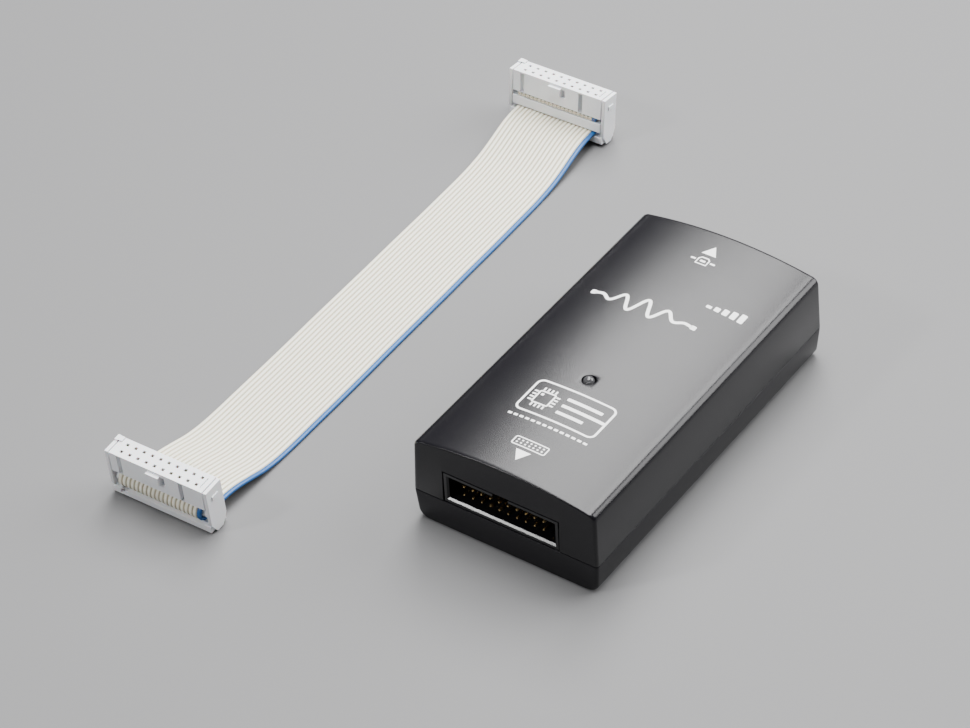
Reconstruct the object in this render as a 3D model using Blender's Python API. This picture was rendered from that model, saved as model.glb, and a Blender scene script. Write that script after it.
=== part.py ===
"""USB microcontroller programmer with its 20-way target lead.

Frame: metres, +Z up, origin at the bottom centre of the case. The target header
looks along -Y, the USB receptacle along +Y. The flat lead lies beside the case at -X.
"""

import math

import bmesh
import bpy
from mathutils import Matrix, Vector

# ---------------------------------------------------------------- driving sizes
GAP = 0.0003                      # clearance kept between touching pieces

CASE_WIDTH = 0.053
CASE_LENGTH = 0.103
SEAM_Z = 0.0090                   # joint plane of the two shells
SIDE_TOP_Z = 0.0245               # height where the crown meets the sides
CROWN_RISE = 0.0027               # rise of the crown above the sides
DRAFT = 0.0005                    # lean of each outer wall away from the joint plane
WALL = 0.0020
CORNER_RADIUS = 0.0013            # upright corners
SHOULDER_RADIUS = 0.0020          # long top edges
KEEL_RADIUS = 0.0028              # long bottom edges
LIP_THICKNESS = 0.00085
LIP_HEIGHT = 0.0018
TAB_HEIGHT = 0.0040               # locating tabs on the lower shell
TAB_WIDTH = 0.0080
TAB_THICKNESS = 0.0007

BOARD_TOP_Z = 0.0090
BOARD_THICKNESS = 0.0016
BOARD_WIDTH = 0.0462
BOARD_LENGTH = 0.0978
SCREW_X = 0.0200
SCREW_Y = (-0.0330, 0.0420)
POST_RADIUS = 0.0028
PILOT_RADIUS = 0.0014
SCREW_RADIUS = 0.0010
SCREW_HEAD_RADIUS = 0.0021

PITCH = 0.00254                   # header and socket contacts
PIN_WIDTH = 0.00064
POSITIONS = 10                    # contacts in each of the two rows
HEADER_X = -0.0010
HEADER_LENGTH = 0.0328
HEADER_HEIGHT = 0.0089
HEADER_DEPTH = 0.0089
HEADER_WALL = 0.0012
HEADER_BACK = 0.0015
HEADER_RIM_Y = -0.0512
HEADER_KEYWAY = 0.0045
PIN_TIP_Y = -0.0500
PIN_FOOT_Z = 0.0058

USB_WIDTH = 0.0120
USB_HEIGHT = 0.0109
USB_DEPTH = 0.0162
USB_MOUTH_Y = 0.0512
USB_SHEET = 0.0004
USB_MOUTH_WIDTH = 0.0086
USB_MOUTH_HEIGHT = 0.0079
USB_MOUTH_CHAMFER = 0.0018

LED_XY = (-0.0004, -0.0134)
LED_RADIUS = 0.0015
LED_TOP_Z = 0.0281
LED_LENGTH = 0.0053
LED_FLANGE_RADIUS = 0.0019

LABEL_SIZE = (0.0380, 0.0600, 0.0002)

# target lead: two insulation-displacement sockets on a 20-way flat cable
RIBBON_WIDTH = 0.0254
RIBBON_THICKNESS = 0.0009
SOCKET_LENGTH = 0.0310
SOCKET_THICKNESS = 0.0060
SOCKET_HEIGHT = 0.0143
ARM_THICKNESS = 0.0010
BAR_HEIGHT = 0.0023
LOWER_PASS_Z = 0.00305            # cable centre between bar and cover
UPPER_PASS_Z = 0.00725            # cable centre between cover and body
FOLD_Y = -0.0009                  # centre of the fold, across the socket
LEAD_YAW = math.radians(1.0)
NEAR_SOCKET = (-0.0797, -0.0805)
FAR_SOCKET = (-0.0830, 0.0970)
NEAR_LEAN = math.radians(4.0)     # top towards -Y
FAR_LEAN = math.radians(-7.0)     # top towards +Y

# Route of the cable between the sockets, along its centre: (x, y, z), chosen by hand.
LEAD_ROUTE = [
    (-0.0796, -0.0730, 0.00360),
    (-0.0794, -0.0690, 0.00330),
    (-0.0791, -0.0640, 0.00235),
    (-0.0789, -0.0590, 0.00125),
    (-0.0788, -0.0530, 0.00062),
    (-0.0788, -0.0460, 0.00050),
    (-0.0789, -0.0380, 0.00050),
    (-0.0790, -0.0280, 0.00050),
    (-0.0792, -0.0170, 0.00050),
    (-0.0795, -0.0050, 0.00050),
    (-0.0797, 0.0070, 0.00050),
    (-0.0799, 0.0190, 0.00050),
    (-0.0802, 0.0310, 0.00050),
    (-0.0804, 0.0430, 0.00050),
    (-0.0807, 0.0540, 0.00050),
    (-0.0810, 0.0640, 0.00056),
    (-0.0814, 0.0720, 0.00100),
    (-0.0818, 0.0780, 0.00190),
    (-0.0822, 0.0830, 0.00290),
    (-0.0825, 0.0870, 0.00360),
    (-0.0827, 0.0905, 0.00393),
]


# ---------------------------------------------------------------- small helpers
def clear_scene():
    """Remove every object of the open file."""
    for obj in list(bpy.data.objects):
        bpy.data.objects.remove(obj, do_unlink=True)


def make_material(name, colour, roughness, metallic=0.0):
    """Return a Principled material of one colour."""
    mat = bpy.data.materials.new(name)
    mat.use_nodes = True
    shader = mat.node_tree.nodes["Principled BSDF"]
    shader.inputs["Base Color"].default_value = (*colour, 1.0)
    shader.inputs["Roughness"].default_value = roughness
    shader.inputs["Metallic"].default_value = metallic
    mat.diffuse_color = (*colour, 1.0)
    return mat


def make_object(name, bm, mat, smooth_angle=None):
    """Turn a bmesh into a named object with one material."""
    bmesh.ops.remove_doubles(bm, verts=bm.verts, dist=1e-7)
    bmesh.ops.recalc_face_normals(bm, faces=bm.faces)
    mesh = bpy.data.meshes.new(name)
    bm.to_mesh(mesh)
    bm.free()
    if smooth_angle is not None:
        mesh.shade_smooth()
        mesh.set_sharp_from_angle(angle=math.radians(smooth_angle))
    obj = bpy.data.objects.new(name, mesh)
    bpy.context.scene.collection.objects.link(obj)
    if mat is not None:
        mesh.materials.append(mat)
    return obj


def apply_boolean(obj, tool, operation):
    """Add an exact Boolean whose tool object is only a guide."""
    tool.hide_render = True
    tool.display_type = "WIRE"
    modifier = obj.modifiers.new(tool.name, "BOOLEAN")
    modifier.operation = operation
    modifier.solver = "EXACT"
    modifier.object = tool


def cut(obj, name, bm):
    """Subtract a bmesh solid from obj."""
    apply_boolean(obj, make_object(name, bm, None), "DIFFERENCE")


def join(obj, name, bm):
    """Add a bmesh solid to obj."""
    apply_boolean(obj, make_object(name, bm, None), "UNION")


def keep_common(obj, name, bm):
    """Keep only what obj and a bmesh solid share."""
    apply_boolean(obj, make_object(name, bm, None), "INTERSECT")


def extrude_outline(bm, points, offset):
    """Add the prism of a planar outline to bm."""
    face = bm.faces.new([bm.verts.new(p) for p in points])
    result = bmesh.ops.extrude_face_region(bm, geom=[face])
    moved = [g for g in result["geom"] if isinstance(g, bmesh.types.BMVert)]
    bmesh.ops.translate(bm, verts=moved, vec=offset)


def box(low, high):
    """Return a bmesh box between two corners."""
    bm = bmesh.new()
    add_box(bm, low, high)
    return bm


def add_box(bm, low, high):
    """Add a box between two corners to bm."""
    size = [b - a for a, b in zip(low, high)]
    middle = [(a + b) / 2 for a, b in zip(low, high)]
    matrix = Matrix.Translation(middle) @ Matrix.Diagonal((*size, 1.0))
    bmesh.ops.create_cube(bm, size=1.0, matrix=matrix)


def add_cylinder(bm, centre, radius, low_z, high_z, segments=20):
    """Add an upright cylinder to bm."""
    matrix = Matrix.Translation((centre[0], centre[1], (low_z + high_z) / 2))
    bmesh.ops.create_cone(bm, cap_ends=True, segments=segments, radius1=radius,
                          radius2=radius, depth=high_z - low_z, matrix=matrix)


def turned(profile, centre, segments=24):
    """Spin a (radius, z) profile that starts and ends on the axis."""
    bm = bmesh.new()
    verts = [bm.verts.new((r, 0.0, z)) for r, z in profile]
    edges = [bm.edges.new(pair) for pair in zip(verts, verts[1:])]
    bmesh.ops.spin(bm, geom=verts + edges, cent=(0, 0, 0), axis=(0, 0, 1),
                   angle=math.tau, steps=segments, use_merge=True)
    bmesh.ops.remove_doubles(bm, verts=bm.verts, dist=1e-6)
    bmesh.ops.translate(bm, verts=bm.verts, vec=(centre[0], centre[1], 0.0))
    return bm


def arc(centre, radius, start, end, steps):
    """Return points on an arc, angles in degrees, both ends included."""
    angles = [math.radians(start + (end - start) * i / steps) for i in range(steps + 1)]
    return [(centre[0] + radius * math.cos(a), centre[1] + radius * math.sin(a)) for a in angles]


def rounded_rectangle(width, length, radius, steps=5):
    """Return a rounded rectangle about the origin, anticlockwise."""
    x, y = width / 2 - radius, length / 2 - radius
    corners = [((x, y), 0), ((-x, y), 90), ((-x, -y), 180), ((x, -y), 270)]
    return [p for centre, start in corners for p in arc(centre, radius, start, start + 90, steps)]


def tapered_prism(width, length, radius, low_z, high_z, taper_low=0.0, taper_high=0.0):
    """Return a rounded-rectangle prism whose ends are drawn in by the tapers."""
    bm = bmesh.new()
    rings = []
    for z, taper in ((low_z, taper_low), (high_z, taper_high)):
        outline = rounded_rectangle(width - 2 * taper, length - 2 * taper, radius)
        rings.append([bm.verts.new((x, y, z)) for x, y in outline])
    count = len(rings[0])
    for i in range(count):
        j = (i + 1) % count
        bm.faces.new((rings[0][i], rings[0][j], rings[1][j], rings[1][i]))
    bm.faces.new(rings[0])
    bm.faces.new(rings[1])
    return bm


def sweep_square(points, width):
    """Sweep a square wire along a polyline that lies in a YZ plane."""
    bm = bmesh.new()
    half = width / 2
    rings = []
    last = len(points) - 1
    for i, point in enumerate(points):
        point = Vector(point)
        before = (point - Vector(points[i - 1])).normalized() if i > 0 else None
        after = (Vector(points[i + 1]) - point).normalized() if i < last else None
        along = ((before or after) + (after or before)).normalized()
        side = Vector((1, 0, 0))
        up = side.cross(along)
        stretch = 1.0 / max(0.5, along.dot(after or before))
        corners = [(-1, -1), (1, -1), (1, 1), (-1, 1)]
        rings.append([bm.verts.new(point + side * half * a + up * half * b * stretch)
                      for a, b in corners])
    for low, high in zip(rings, rings[1:]):
        for i in range(4):
            j = (i + 1) % 4
            bm.faces.new((low[i], low[j], high[j], high[i]))
    bm.faces.new(rings[0])
    bm.faces.new(rings[-1])
    return bm


# ---------------------------------------------------------------- case outlines
def crown_arc(half_width, edge_z, top_z, steps):
    """Points of the crown arc from +x to -x through its highest point."""
    rise = top_z - edge_z
    radius = (half_width ** 2 + rise ** 2) / (2 * rise)
    angle = math.degrees(math.asin(half_width / radius))
    return arc((0.0, top_z - radius), radius, 90 - angle, 90 + angle, steps)


def upper_profile(inset, low_z):
    """Cross-section of the upper half, inset all round, open to low_z."""
    half_low = CASE_WIDTH / 2 - inset
    half_high = half_low - DRAFT
    radius = max(SHOULDER_RADIUS - inset, 0.0004)
    edge_z = SIDE_TOP_Z - inset
    top_z = SIDE_TOP_Z + CROWN_RISE - inset
    crown = crown_arc(half_high - radius, edge_z + 0.0004, top_z, 24)
    shoulder = arc((half_high - radius, edge_z + 0.0004 - radius), radius, 0, 78, 5)
    right = [(half_low, low_z)] + shoulder
    left = [(-x, z) for x, z in reversed(right)]
    return right + crown[1:-1] + left


def lower_profile(low_z, high_z, inset, keel):
    """Cross-section of the lower half with rounded bottom edges."""
    half_high = CASE_WIDTH / 2 - inset
    half_low = half_high - DRAFT
    curve = arc((half_low - keel, low_z + keel), keel, 0, -90, 6)
    right = [(half_high, high_z)] + curve
    left = [(-x, z) for x, z in reversed(right)]
    return left + right


def profile_prism(outline, length):
    """Extrude an (x, z) outline along Y, centred on the case."""
    bm = bmesh.new()
    extrude_outline(bm, [(x, -length / 2, z) for x, z in outline], (0, length, 0))
    return bm


def inner_size(extra=0.0):
    """Width and length inside the walls, grown by extra on every side."""
    grow = 2 * (extra - WALL)
    return CASE_WIDTH + grow, CASE_LENGTH + grow


def header_centre_z():
    """Height of the header's centre line above the bottom of the case."""
    return BOARD_TOP_Z + GAP + HEADER_HEIGHT / 2


def opening_cutters(low_z):
    """Boxes of the header opening and the USB opening, from low_z up."""
    half = HEADER_LENGTH / 2 + GAP
    header_top = BOARD_TOP_Z + HEADER_HEIGHT + 2 * GAP
    header = box((HEADER_X - half, -0.056, low_z), (HEADER_X + half, -0.048, header_top))
    half = USB_WIDTH / 2 + GAP
    usb_top = BOARD_TOP_Z + USB_HEIGHT + 2 * GAP
    usb = box((-half, 0.048, low_z), (half, 0.056, usb_top))
    return header, usb


# ---------------------------------------------------------------- case shells
def build_top_shell(mat):
    """Crowned cover with openings for the header, the receptacle and the lamp."""
    start = SEAM_Z + GAP
    shell = make_object("top_shell", profile_prism(upper_profile(0.0, start), 0.12), mat, 35)
    keep_common(shell, "top_plan", tapered_prism(CASE_WIDTH + 0.001, CASE_LENGTH, CORNER_RADIUS,
                                                 start - 0.001, 0.030, 0.0, DRAFT))
    inside = make_object("top_inside", profile_prism(upper_profile(WALL, 0.002), 0.12), None)
    width, length = inner_size()
    keep_common(inside, "top_inside_plan", tapered_prism(width + 0.001, length, 0.0005,
                                                         0.004, 0.030, 0.0, DRAFT))
    apply_boolean(shell, inside, "DIFFERENCE")
    width, length = inner_size(LIP_THICKNESS + GAP)
    cut(shell, "top_lip_groove", tapered_prism(width, length, 0.0008, 0.006,
                                               SEAM_Z + LIP_HEIGHT + GAP))
    for i, cutter in enumerate(opening_cutters(0.005)):
        cut(shell, f"top_opening_{i}", cutter)
    hole = bmesh.new()
    add_cylinder(hole, LED_XY, LED_RADIUS + GAP, 0.020, 0.032, 32)
    cut(shell, "lamp_hole", hole)
    return shell


def build_bottom_shell(mat):
    """Tray with a locating lip, tabs, screw posts and a label recess."""
    outline = lower_profile(0.0, SEAM_Z, 0.0, KEEL_RADIUS)
    shell = make_object("bottom_shell", profile_prism(outline, 0.12), mat, 35)
    keep_common(shell, "bottom_plan", tapered_prism(CASE_WIDTH + 0.001, CASE_LENGTH, CORNER_RADIUS,
                                                    -0.001, SEAM_Z + 0.001, DRAFT, 0.0))
    width, length = inner_size(LIP_THICKNESS)
    join(shell, "lip", tapered_prism(width, length, 0.0008, SEAM_Z - 0.003, SEAM_Z + LIP_HEIGHT))
    width, length = inner_size()
    cut(shell, "bottom_inside", tapered_prism(width, length, 0.0005, WALL, 0.020))
    for i, cutter in enumerate(opening_cutters(SEAM_Z)):
        cut(shell, f"lip_opening_{i}", cutter)
    tab_outer = width / 2 - 0.0004
    tab_inner = tab_outer - TAB_THICKNESS
    roots, tabs = bmesh.new(), bmesh.new()
    for side in (-1, 1):
        for y in (-0.022, 0.022):
            low_x, high_x = sorted((side * tab_inner, side * (width / 2 + 0.0004)))
            add_box(roots, (low_x, y - TAB_WIDTH / 2, SEAM_Z - 0.0015),
                    (high_x, y + TAB_WIDTH / 2, SEAM_Z + LIP_HEIGHT - 0.0002))
            low_x, high_x = sorted((side * tab_inner, side * tab_outer))
            add_box(tabs, (low_x, y - TAB_WIDTH / 2, SEAM_Z),
                    (high_x, y + TAB_WIDTH / 2, SEAM_Z + TAB_HEIGHT))
    join(shell, "tab_roots", roots)
    join(shell, "tabs", tabs)
    posts = bmesh.new()
    pilots = bmesh.new()
    for x, y in screw_places():
        add_cylinder(posts, (x, y), POST_RADIUS, WALL - 0.0005, board_underside() - GAP, 20)
        add_cylinder(pilots, (x, y), PILOT_RADIUS, WALL + 0.0004, 0.012, 12)
    join(shell, "posts", posts)
    cut(shell, "pilots", pilots)
    half_x, half_y = LABEL_SIZE[0] / 2 + GAP, LABEL_SIZE[1] / 2 + GAP
    cut(shell, "label_recess", box((-half_x, -half_y, -0.001), (half_x, half_y, 0.0006)))
    return shell


def board_underside():
    """Height of the board's lower face."""
    return BOARD_TOP_Z - BOARD_THICKNESS


def screw_places():
    """Centres of the four board screws."""
    return [(side * SCREW_X, y) for side in (-1, 1) for y in SCREW_Y]


def build_label(mat):
    """Blank rating label in its recess on the underside."""
    x, y, thickness = LABEL_SIZE
    low_z = 0.0001
    bm = box((-x / 2, -y / 2, low_z), (x / 2, y / 2, low_z + thickness))
    return make_object("rating_label", bm, mat)


# ---------------------------------------------------------------- header
def pin_places():
    """Yield number, x, row height and foot y of each header pin."""
    for row in (0, 1):
        z = header_centre_z() + (row - 0.5) * PITCH
        foot_y = HEADER_RIM_Y + HEADER_DEPTH + 0.0017 + row * PITCH
        for i in range(POSITIONS):
            x = HEADER_X + (i - (POSITIONS - 1) / 2) * PITCH
            yield row * POSITIONS + i + 1, x, z, foot_y


def build_header(plastic, metal):
    """Box header: keyed shroud and twenty right-angle pins."""
    z = header_centre_z()
    half_x, half_z = HEADER_LENGTH / 2, HEADER_HEIGHT / 2
    back_y = HEADER_RIM_Y + HEADER_DEPTH
    shroud = make_object("header_shroud", box((HEADER_X - half_x, HEADER_RIM_Y, z - half_z),
                                              (HEADER_X + half_x, back_y, z + half_z)), plastic)
    in_x, in_z = half_x - HEADER_WALL, half_z - HEADER_WALL
    cut(shroud, "header_pocket", box((HEADER_X - in_x, HEADER_RIM_Y - 0.001, z - in_z),
                                     (HEADER_X + in_x, back_y - HEADER_BACK, z + in_z)))
    half_key = HEADER_KEYWAY / 2
    cut(shroud, "header_keyway", box((HEADER_X - half_key, HEADER_RIM_Y - 0.001, z),
                                     (HEADER_X + half_key, back_y - 0.0032, z + half_z + 0.001)))
    holes = bmesh.new()
    reach = PIN_WIDTH / 2 + GAP
    for number, x, pin_z, foot_y in pin_places():
        add_box(holes, (x - reach, back_y - HEADER_BACK - 0.001, pin_z - reach),
                (x + reach, back_y + 0.001, pin_z + reach))
        route = [(x, PIN_TIP_Y, pin_z), (x, foot_y - 0.0003, pin_z),
                 (x, foot_y, pin_z - 0.0003), (x, foot_y, PIN_FOOT_Z)]
        make_object(f"header_pin_{number:02d}", sweep_square(route, PIN_WIDTH), metal)
    cut(shroud, "pin_holes", holes)


# ---------------------------------------------------------------- USB receptacle
def usb_mouth_outline(grow=0.0):
    """Mouth of a type-B receptacle: a box with its two upper corners cut."""
    half = USB_MOUTH_WIDTH / 2 + grow
    low = BOARD_TOP_Z + GAP + (USB_HEIGHT - USB_MOUTH_HEIGHT) / 2 - grow
    high = low + USB_MOUTH_HEIGHT + 2 * grow
    chamfer = USB_MOUTH_CHAMFER
    return [(-half, low), (half, low), (half, high - chamfer), (half - chamfer, high),
            (-half + chamfer, high), (-half, high - chamfer)]


def build_usb(metal, plastic, contact):
    """Type-B receptacle: shield, tongue block and four contacts."""
    low_z = BOARD_TOP_Z + GAP
    back_y = USB_MOUTH_Y - USB_DEPTH
    half = USB_WIDTH / 2
    shield = make_object("usb_shield", box((-half, back_y, low_z),
                                           (half, USB_MOUTH_Y, low_z + USB_HEIGHT)), metal)
    sheet = USB_SHEET
    cut(shield, "shield_inside", box((-half + sheet, back_y + sheet, low_z - 0.001),
                                     (half - sheet, USB_MOUTH_Y - sheet,
                                      low_z + USB_HEIGHT - sheet)))
    mouth = bmesh.new()
    extrude_outline(mouth, [(x, USB_MOUTH_Y - 0.002, z) for x, z in usb_mouth_outline()],
                    (0, 0.004, 0))
    cut(shield, "shield_mouth", mouth)
    inner = half - sheet - GAP
    front = USB_MOUTH_Y - sheet - GAP
    top = low_z + USB_HEIGHT - sheet - GAP
    block = make_object("usb_tongue_block", box((-inner, back_y + sheet + GAP, low_z),
                                                (inner, front, top)), plastic)
    cavity_back = front - 0.0092
    cavity = bmesh.new()
    extrude_outline(cavity, [(x, cavity_back, z) for x, z in usb_mouth_outline(0.0001)],
                    (0, 0.012, 0))
    cut(block, "usb_cavity", cavity)
    middle = low_z + USB_HEIGHT / 2
    join(block, "usb_tongue", box((-0.0028, cavity_back - 0.001, middle - 0.0011),
                                  (0.0028, front - 0.0012, middle + 0.0011)))
    number = 0
    for level in (-1, 1):
        for x in (-0.00125, 0.00125):
            number += 1
            z = middle + level * (0.0011 + GAP + 0.00015)
            bm = box((x - 0.0006, cavity_back + GAP, z - 0.00015),
                     (x + 0.0006, front - 0.0022, z + 0.00015))
            make_object(f"usb_contact_{number}", bm, contact)


# ---------------------------------------------------------------- circuit board
def build_board(mat):
    """Circuit board with its pin holes and screw holes."""
    half_x, half_y = BOARD_WIDTH / 2, BOARD_LENGTH / 2
    board = make_object("circuit_board", box((-half_x, -half_y, board_underside()),
                                             (half_x, half_y, BOARD_TOP_Z)), mat)
    holes = bmesh.new()
    for _, x, _, foot_y in pin_places():
        add_cylinder(holes, (x, foot_y), PIN_WIDTH * 0.71 + GAP, 0.005, 0.012, 8)
    for place in screw_places():
        add_cylinder(holes, place, SCREW_RADIUS + GAP, 0.005, 0.012, 12)
    for side in (-1, 1):
        add_cylinder(holes, (LED_XY[0] + side * PITCH / 2, LED_XY[1]), 0.0006, 0.005, 0.012, 8)
    cut(board, "board_holes", holes)
    return board


def build_screws(mat):
    """Four pan-head screws that hold the board on its posts."""
    for number, (x, y) in enumerate(screw_places(), start=1):
        seat = BOARD_TOP_Z + GAP
        crown = [(SCREW_HEAD_RADIUS * math.cos(math.radians(a)),
                  seat + 0.0006 + 0.0009 * math.sin(math.radians(a))) for a in (0, 30, 60, 90)]
        profile = [(0.0, 0.0032), (SCREW_RADIUS * 0.5, 0.0034), (SCREW_RADIUS, 0.0044),
                   (SCREW_RADIUS, seat), (SCREW_HEAD_RADIUS, seat)] + crown[:-1]
        profile.append((0.0, crown[-1][1]))
        screw = make_object(f"board_screw_{number}", turned(profile, (x, y), 16), mat, 40)
        slot = bmesh.new()
        top = seat + 0.0015
        add_box(slot, (x - 0.0011, y - 0.0002, top - 0.0006), (x + 0.0011, y + 0.0002, top + 0.001))
        cut(screw, f"screw_slot_{number}", slot)


def chip(name, centre, size, mat):
    """Add a flat chip package standing just above the board."""
    (x, y), (width, length, height) = centre, size
    low_z = BOARD_TOP_Z + GAP
    bm = box((x - width / 2, y - length / 2, low_z), (x + width / 2, y + length / 2, low_z + height))
    obj = make_object(name, bm, mat)
    bevel = obj.modifiers.new("edges", "BEVEL")
    bevel.width = min(0.0002, height / 5)
    bevel.segments = 1
    return obj


def build_components(black, can_metal, can_sleeve, tan):
    """Chips and other components on the board."""
    chip("microcontroller", (0.0040, 0.0060), (0.0140, 0.0140, 0.0014), black)
    chip("line_buffer_1", (-0.0110, -0.0270), (0.0128, 0.0060, 0.0022), black)
    chip("line_buffer_2", (0.0090, -0.0270), (0.0128, 0.0060, 0.0022), black)
    chip("voltage_regulator", (0.0150, 0.0280), (0.0065, 0.0035, 0.0017), black)
    chip("resettable_fuse", (-0.0110, 0.0440), (0.0032, 0.0046, 0.0012), tan)
    low_z = BOARD_TOP_Z + GAP
    crystal = bmesh.new()
    outline = rounded_rectangle(0.0108, 0.0044, 0.0021, 5)
    extrude_outline(crystal, [(x - 0.0140, y + 0.0080, low_z) for x, y in outline], (0, 0, 0.0035))
    make_object("crystal_can", crystal, can_metal, 40)
    profile = [(0.0, low_z), (0.0031, low_z), (0.0031, low_z + 0.0008), (0.0029, low_z + 0.0011),
               (0.0031, low_z + 0.0014), (0.0031, low_z + 0.0074), (0.0028, low_z + 0.0077),
               (0.0, low_z + 0.0077)]
    make_object("smoothing_capacitor", turned(profile, (-0.0140, 0.0290), 24), can_sleeve, 40)


def build_lamp(clear, spacer_plastic, metal):
    """Status lamp: lens, spacer tube and two leads."""
    base_z = LED_TOP_Z - LED_LENGTH
    dome = [(LED_RADIUS * math.cos(math.radians(a)),
             LED_TOP_Z - LED_RADIUS + LED_RADIUS * math.sin(math.radians(a)))
            for a in range(0, 90, 15)]
    profile = [(0.0, base_z), (LED_FLANGE_RADIUS, base_z), (LED_FLANGE_RADIUS, base_z + 0.0010),
               (LED_RADIUS, base_z + 0.0010)] + dome + [(0.0, LED_TOP_Z)]
    make_object("status_lamp", turned(profile, LED_XY, 24), clear, 40)
    low_z, high_z = BOARD_TOP_Z + GAP, base_z - GAP
    tube = bmesh.new()
    add_cylinder(tube, LED_XY, 0.0025, low_z, high_z, 24)
    spacer = make_object("lamp_spacer", tube, spacer_plastic, 40)
    bore = bmesh.new()
    add_cylinder(bore, LED_XY, 0.0019, low_z - 0.001, high_z + 0.001, 24)
    cut(spacer, "spacer_bore", bore)
    for number, side in enumerate((-1, 1), start=1):
        x, y = LED_XY[0] + side * PITCH / 2, LED_XY[1]
        half = 0.00025
        bm = box((x - half, y - half, 0.0062), (x + half, y + half, high_z))
        make_object(f"lamp_lead_{number}", bm, metal)


# ---------------------------------------------------------------- target lead
def socket_matrix(place, lean):
    """Place of a socket that stands on the table and leans about its lower edge."""
    lift = SOCKET_THICKNESS / 2 * abs(math.sin(lean))
    return (Matrix.Translation((*place, lift)) @ Matrix.Rotation(LEAD_YAW, 4, "Z")
            @ Matrix.Rotation(lean, 4, "X"))


def build_socket(prefix, place, lean, fold_side, mat):
    """Socket body, cover and strain relief, contacts facing up."""
    matrix = socket_matrix(place, lean)
    half_x = SOCKET_LENGTH / 2
    inside_x = half_x - ARM_THICKNESS
    half_y = SOCKET_THICKNESS / 2
    body_x = inside_x - GAP

    body_low = UPPER_PASS_Z + RIBBON_THICKNESS / 2 + GAP
    body = box((-body_x, -half_y, body_low), (body_x, half_y, SOCKET_HEIGHT))
    body.transform(matrix)
    body = make_object(f"{prefix}_socket_body", body, mat)
    key = box((-0.0024, -half_y - 0.0010, SOCKET_HEIGHT - 0.0032),
              (0.0015, -half_y + 0.0005, SOCKET_HEIGHT - 0.0007))
    key.transform(matrix)
    join(body, f"{prefix}_key", key)

    cover_low = LOWER_PASS_Z + RIBBON_THICKNESS / 2 + GAP
    cover_high = UPPER_PASS_Z - RIBBON_THICKNESS / 2 - GAP
    middle = (cover_high + cover_low) / 2
    nose = arc((FOLD_Y, middle), middle - cover_low, 90, 270, 8)
    outline = nose + [(half_y, cover_low), (half_y, cover_high)]
    cover = bmesh.new()
    extrude_outline(cover, [(-body_x, -fold_side * y, z) for y, z in outline], (2 * body_x, 0, 0))
    cover.transform(matrix)
    make_object(f"{prefix}_socket_cover", cover, mat)

    outline = [(-half_x, SOCKET_HEIGHT), (-half_x, 0.0), (half_x, 0.0), (half_x, SOCKET_HEIGHT),
               (inside_x, SOCKET_HEIGHT), (inside_x, BAR_HEIGHT), (-inside_x, BAR_HEIGHT),
               (-inside_x, SOCKET_HEIGHT)]
    relief = bmesh.new()
    extrude_outline(relief, [(x, -half_y, z) for x, z in outline], (0, 2 * half_y, 0))
    relief.transform(matrix)
    make_object(f"{prefix}_strain_relief", relief, mat)


def fold_path(fold_side):
    """Cable centre through one socket: cut end, fold round the cover, way out."""
    radius = (UPPER_PASS_Z - LOWER_PASS_Z) / 2
    middle = (UPPER_PASS_Z + LOWER_PASS_Z) / 2
    half_y = SOCKET_THICKNESS / 2
    points = [(half_y - 0.0002, UPPER_PASS_Z), (0.0010, UPPER_PASS_Z)]
    points += arc((FOLD_Y, middle), radius, 90, 270, 10)
    points += [(0.0010, LOWER_PASS_Z), (half_y, LOWER_PASS_Z)]
    return [(0.0, -fold_side * y, z) for y, z in points]


def smooth_route(points, steps):
    """Read a Catmull-Rom curve through the points, steps per stretch."""
    result = []
    for i in range(1, len(points) - 2):
        p0, p1, p2, p3 = (Vector(p) for p in points[i - 1:i + 3])
        for k in range(steps):
            t = k / steps
            result.append(0.5 * (2 * p1 + (p2 - p0) * t + (2 * p0 - 5 * p1 + 4 * p2 - p3) * t ** 2
                                 + (3 * p1 - p0 - 3 * p2 + p3) * t ** 3))
    result.append(Vector(points[-2]))
    return result


def lead_path():
    """Cable centre from one cut end to the other, in world coordinates."""
    near = [socket_matrix(NEAR_SOCKET, NEAR_LEAN) @ Vector(p) for p in fold_path(-1)]
    far = [socket_matrix(FAR_SOCKET, FAR_LEAN) @ Vector(p) for p in fold_path(1)]
    far.reverse()
    middle = smooth_route([near[-2], near[-1]] + LEAD_ROUTE + [far[0], far[1]], 2)
    return near[:-1] + middle + far[1:]


def build_ribbon(mat):
    """Flat cable as a plain strip along its route."""
    path = lead_path()
    side = Vector((math.cos(LEAD_YAW), math.sin(LEAD_YAW), 0.0))
    bm = bmesh.new()
    rings = []
    for i, point in enumerate(path):
        along = (path[min(i + 1, len(path) - 1)] - path[max(i - 1, 0)]).normalized()
        up = side.cross(along).normalized()
        half_w, half_t = RIBBON_WIDTH / 2, RIBBON_THICKNESS / 2
        rings.append([bm.verts.new(point + side * half_w * a + up * half_t * b)
                      for a, b in ((-1, -1), (1, -1), (1, 1), (-1, 1))])
    for low, high in zip(rings, rings[1:]):
        for i in range(4):
            j = (i + 1) % 4
            bm.faces.new((low[i], low[j], high[j], high[i]))
    bm.faces.new(rings[0])
    bm.faces.new(rings[-1])
    return make_object("ribbon_cable", bm, mat)


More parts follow.
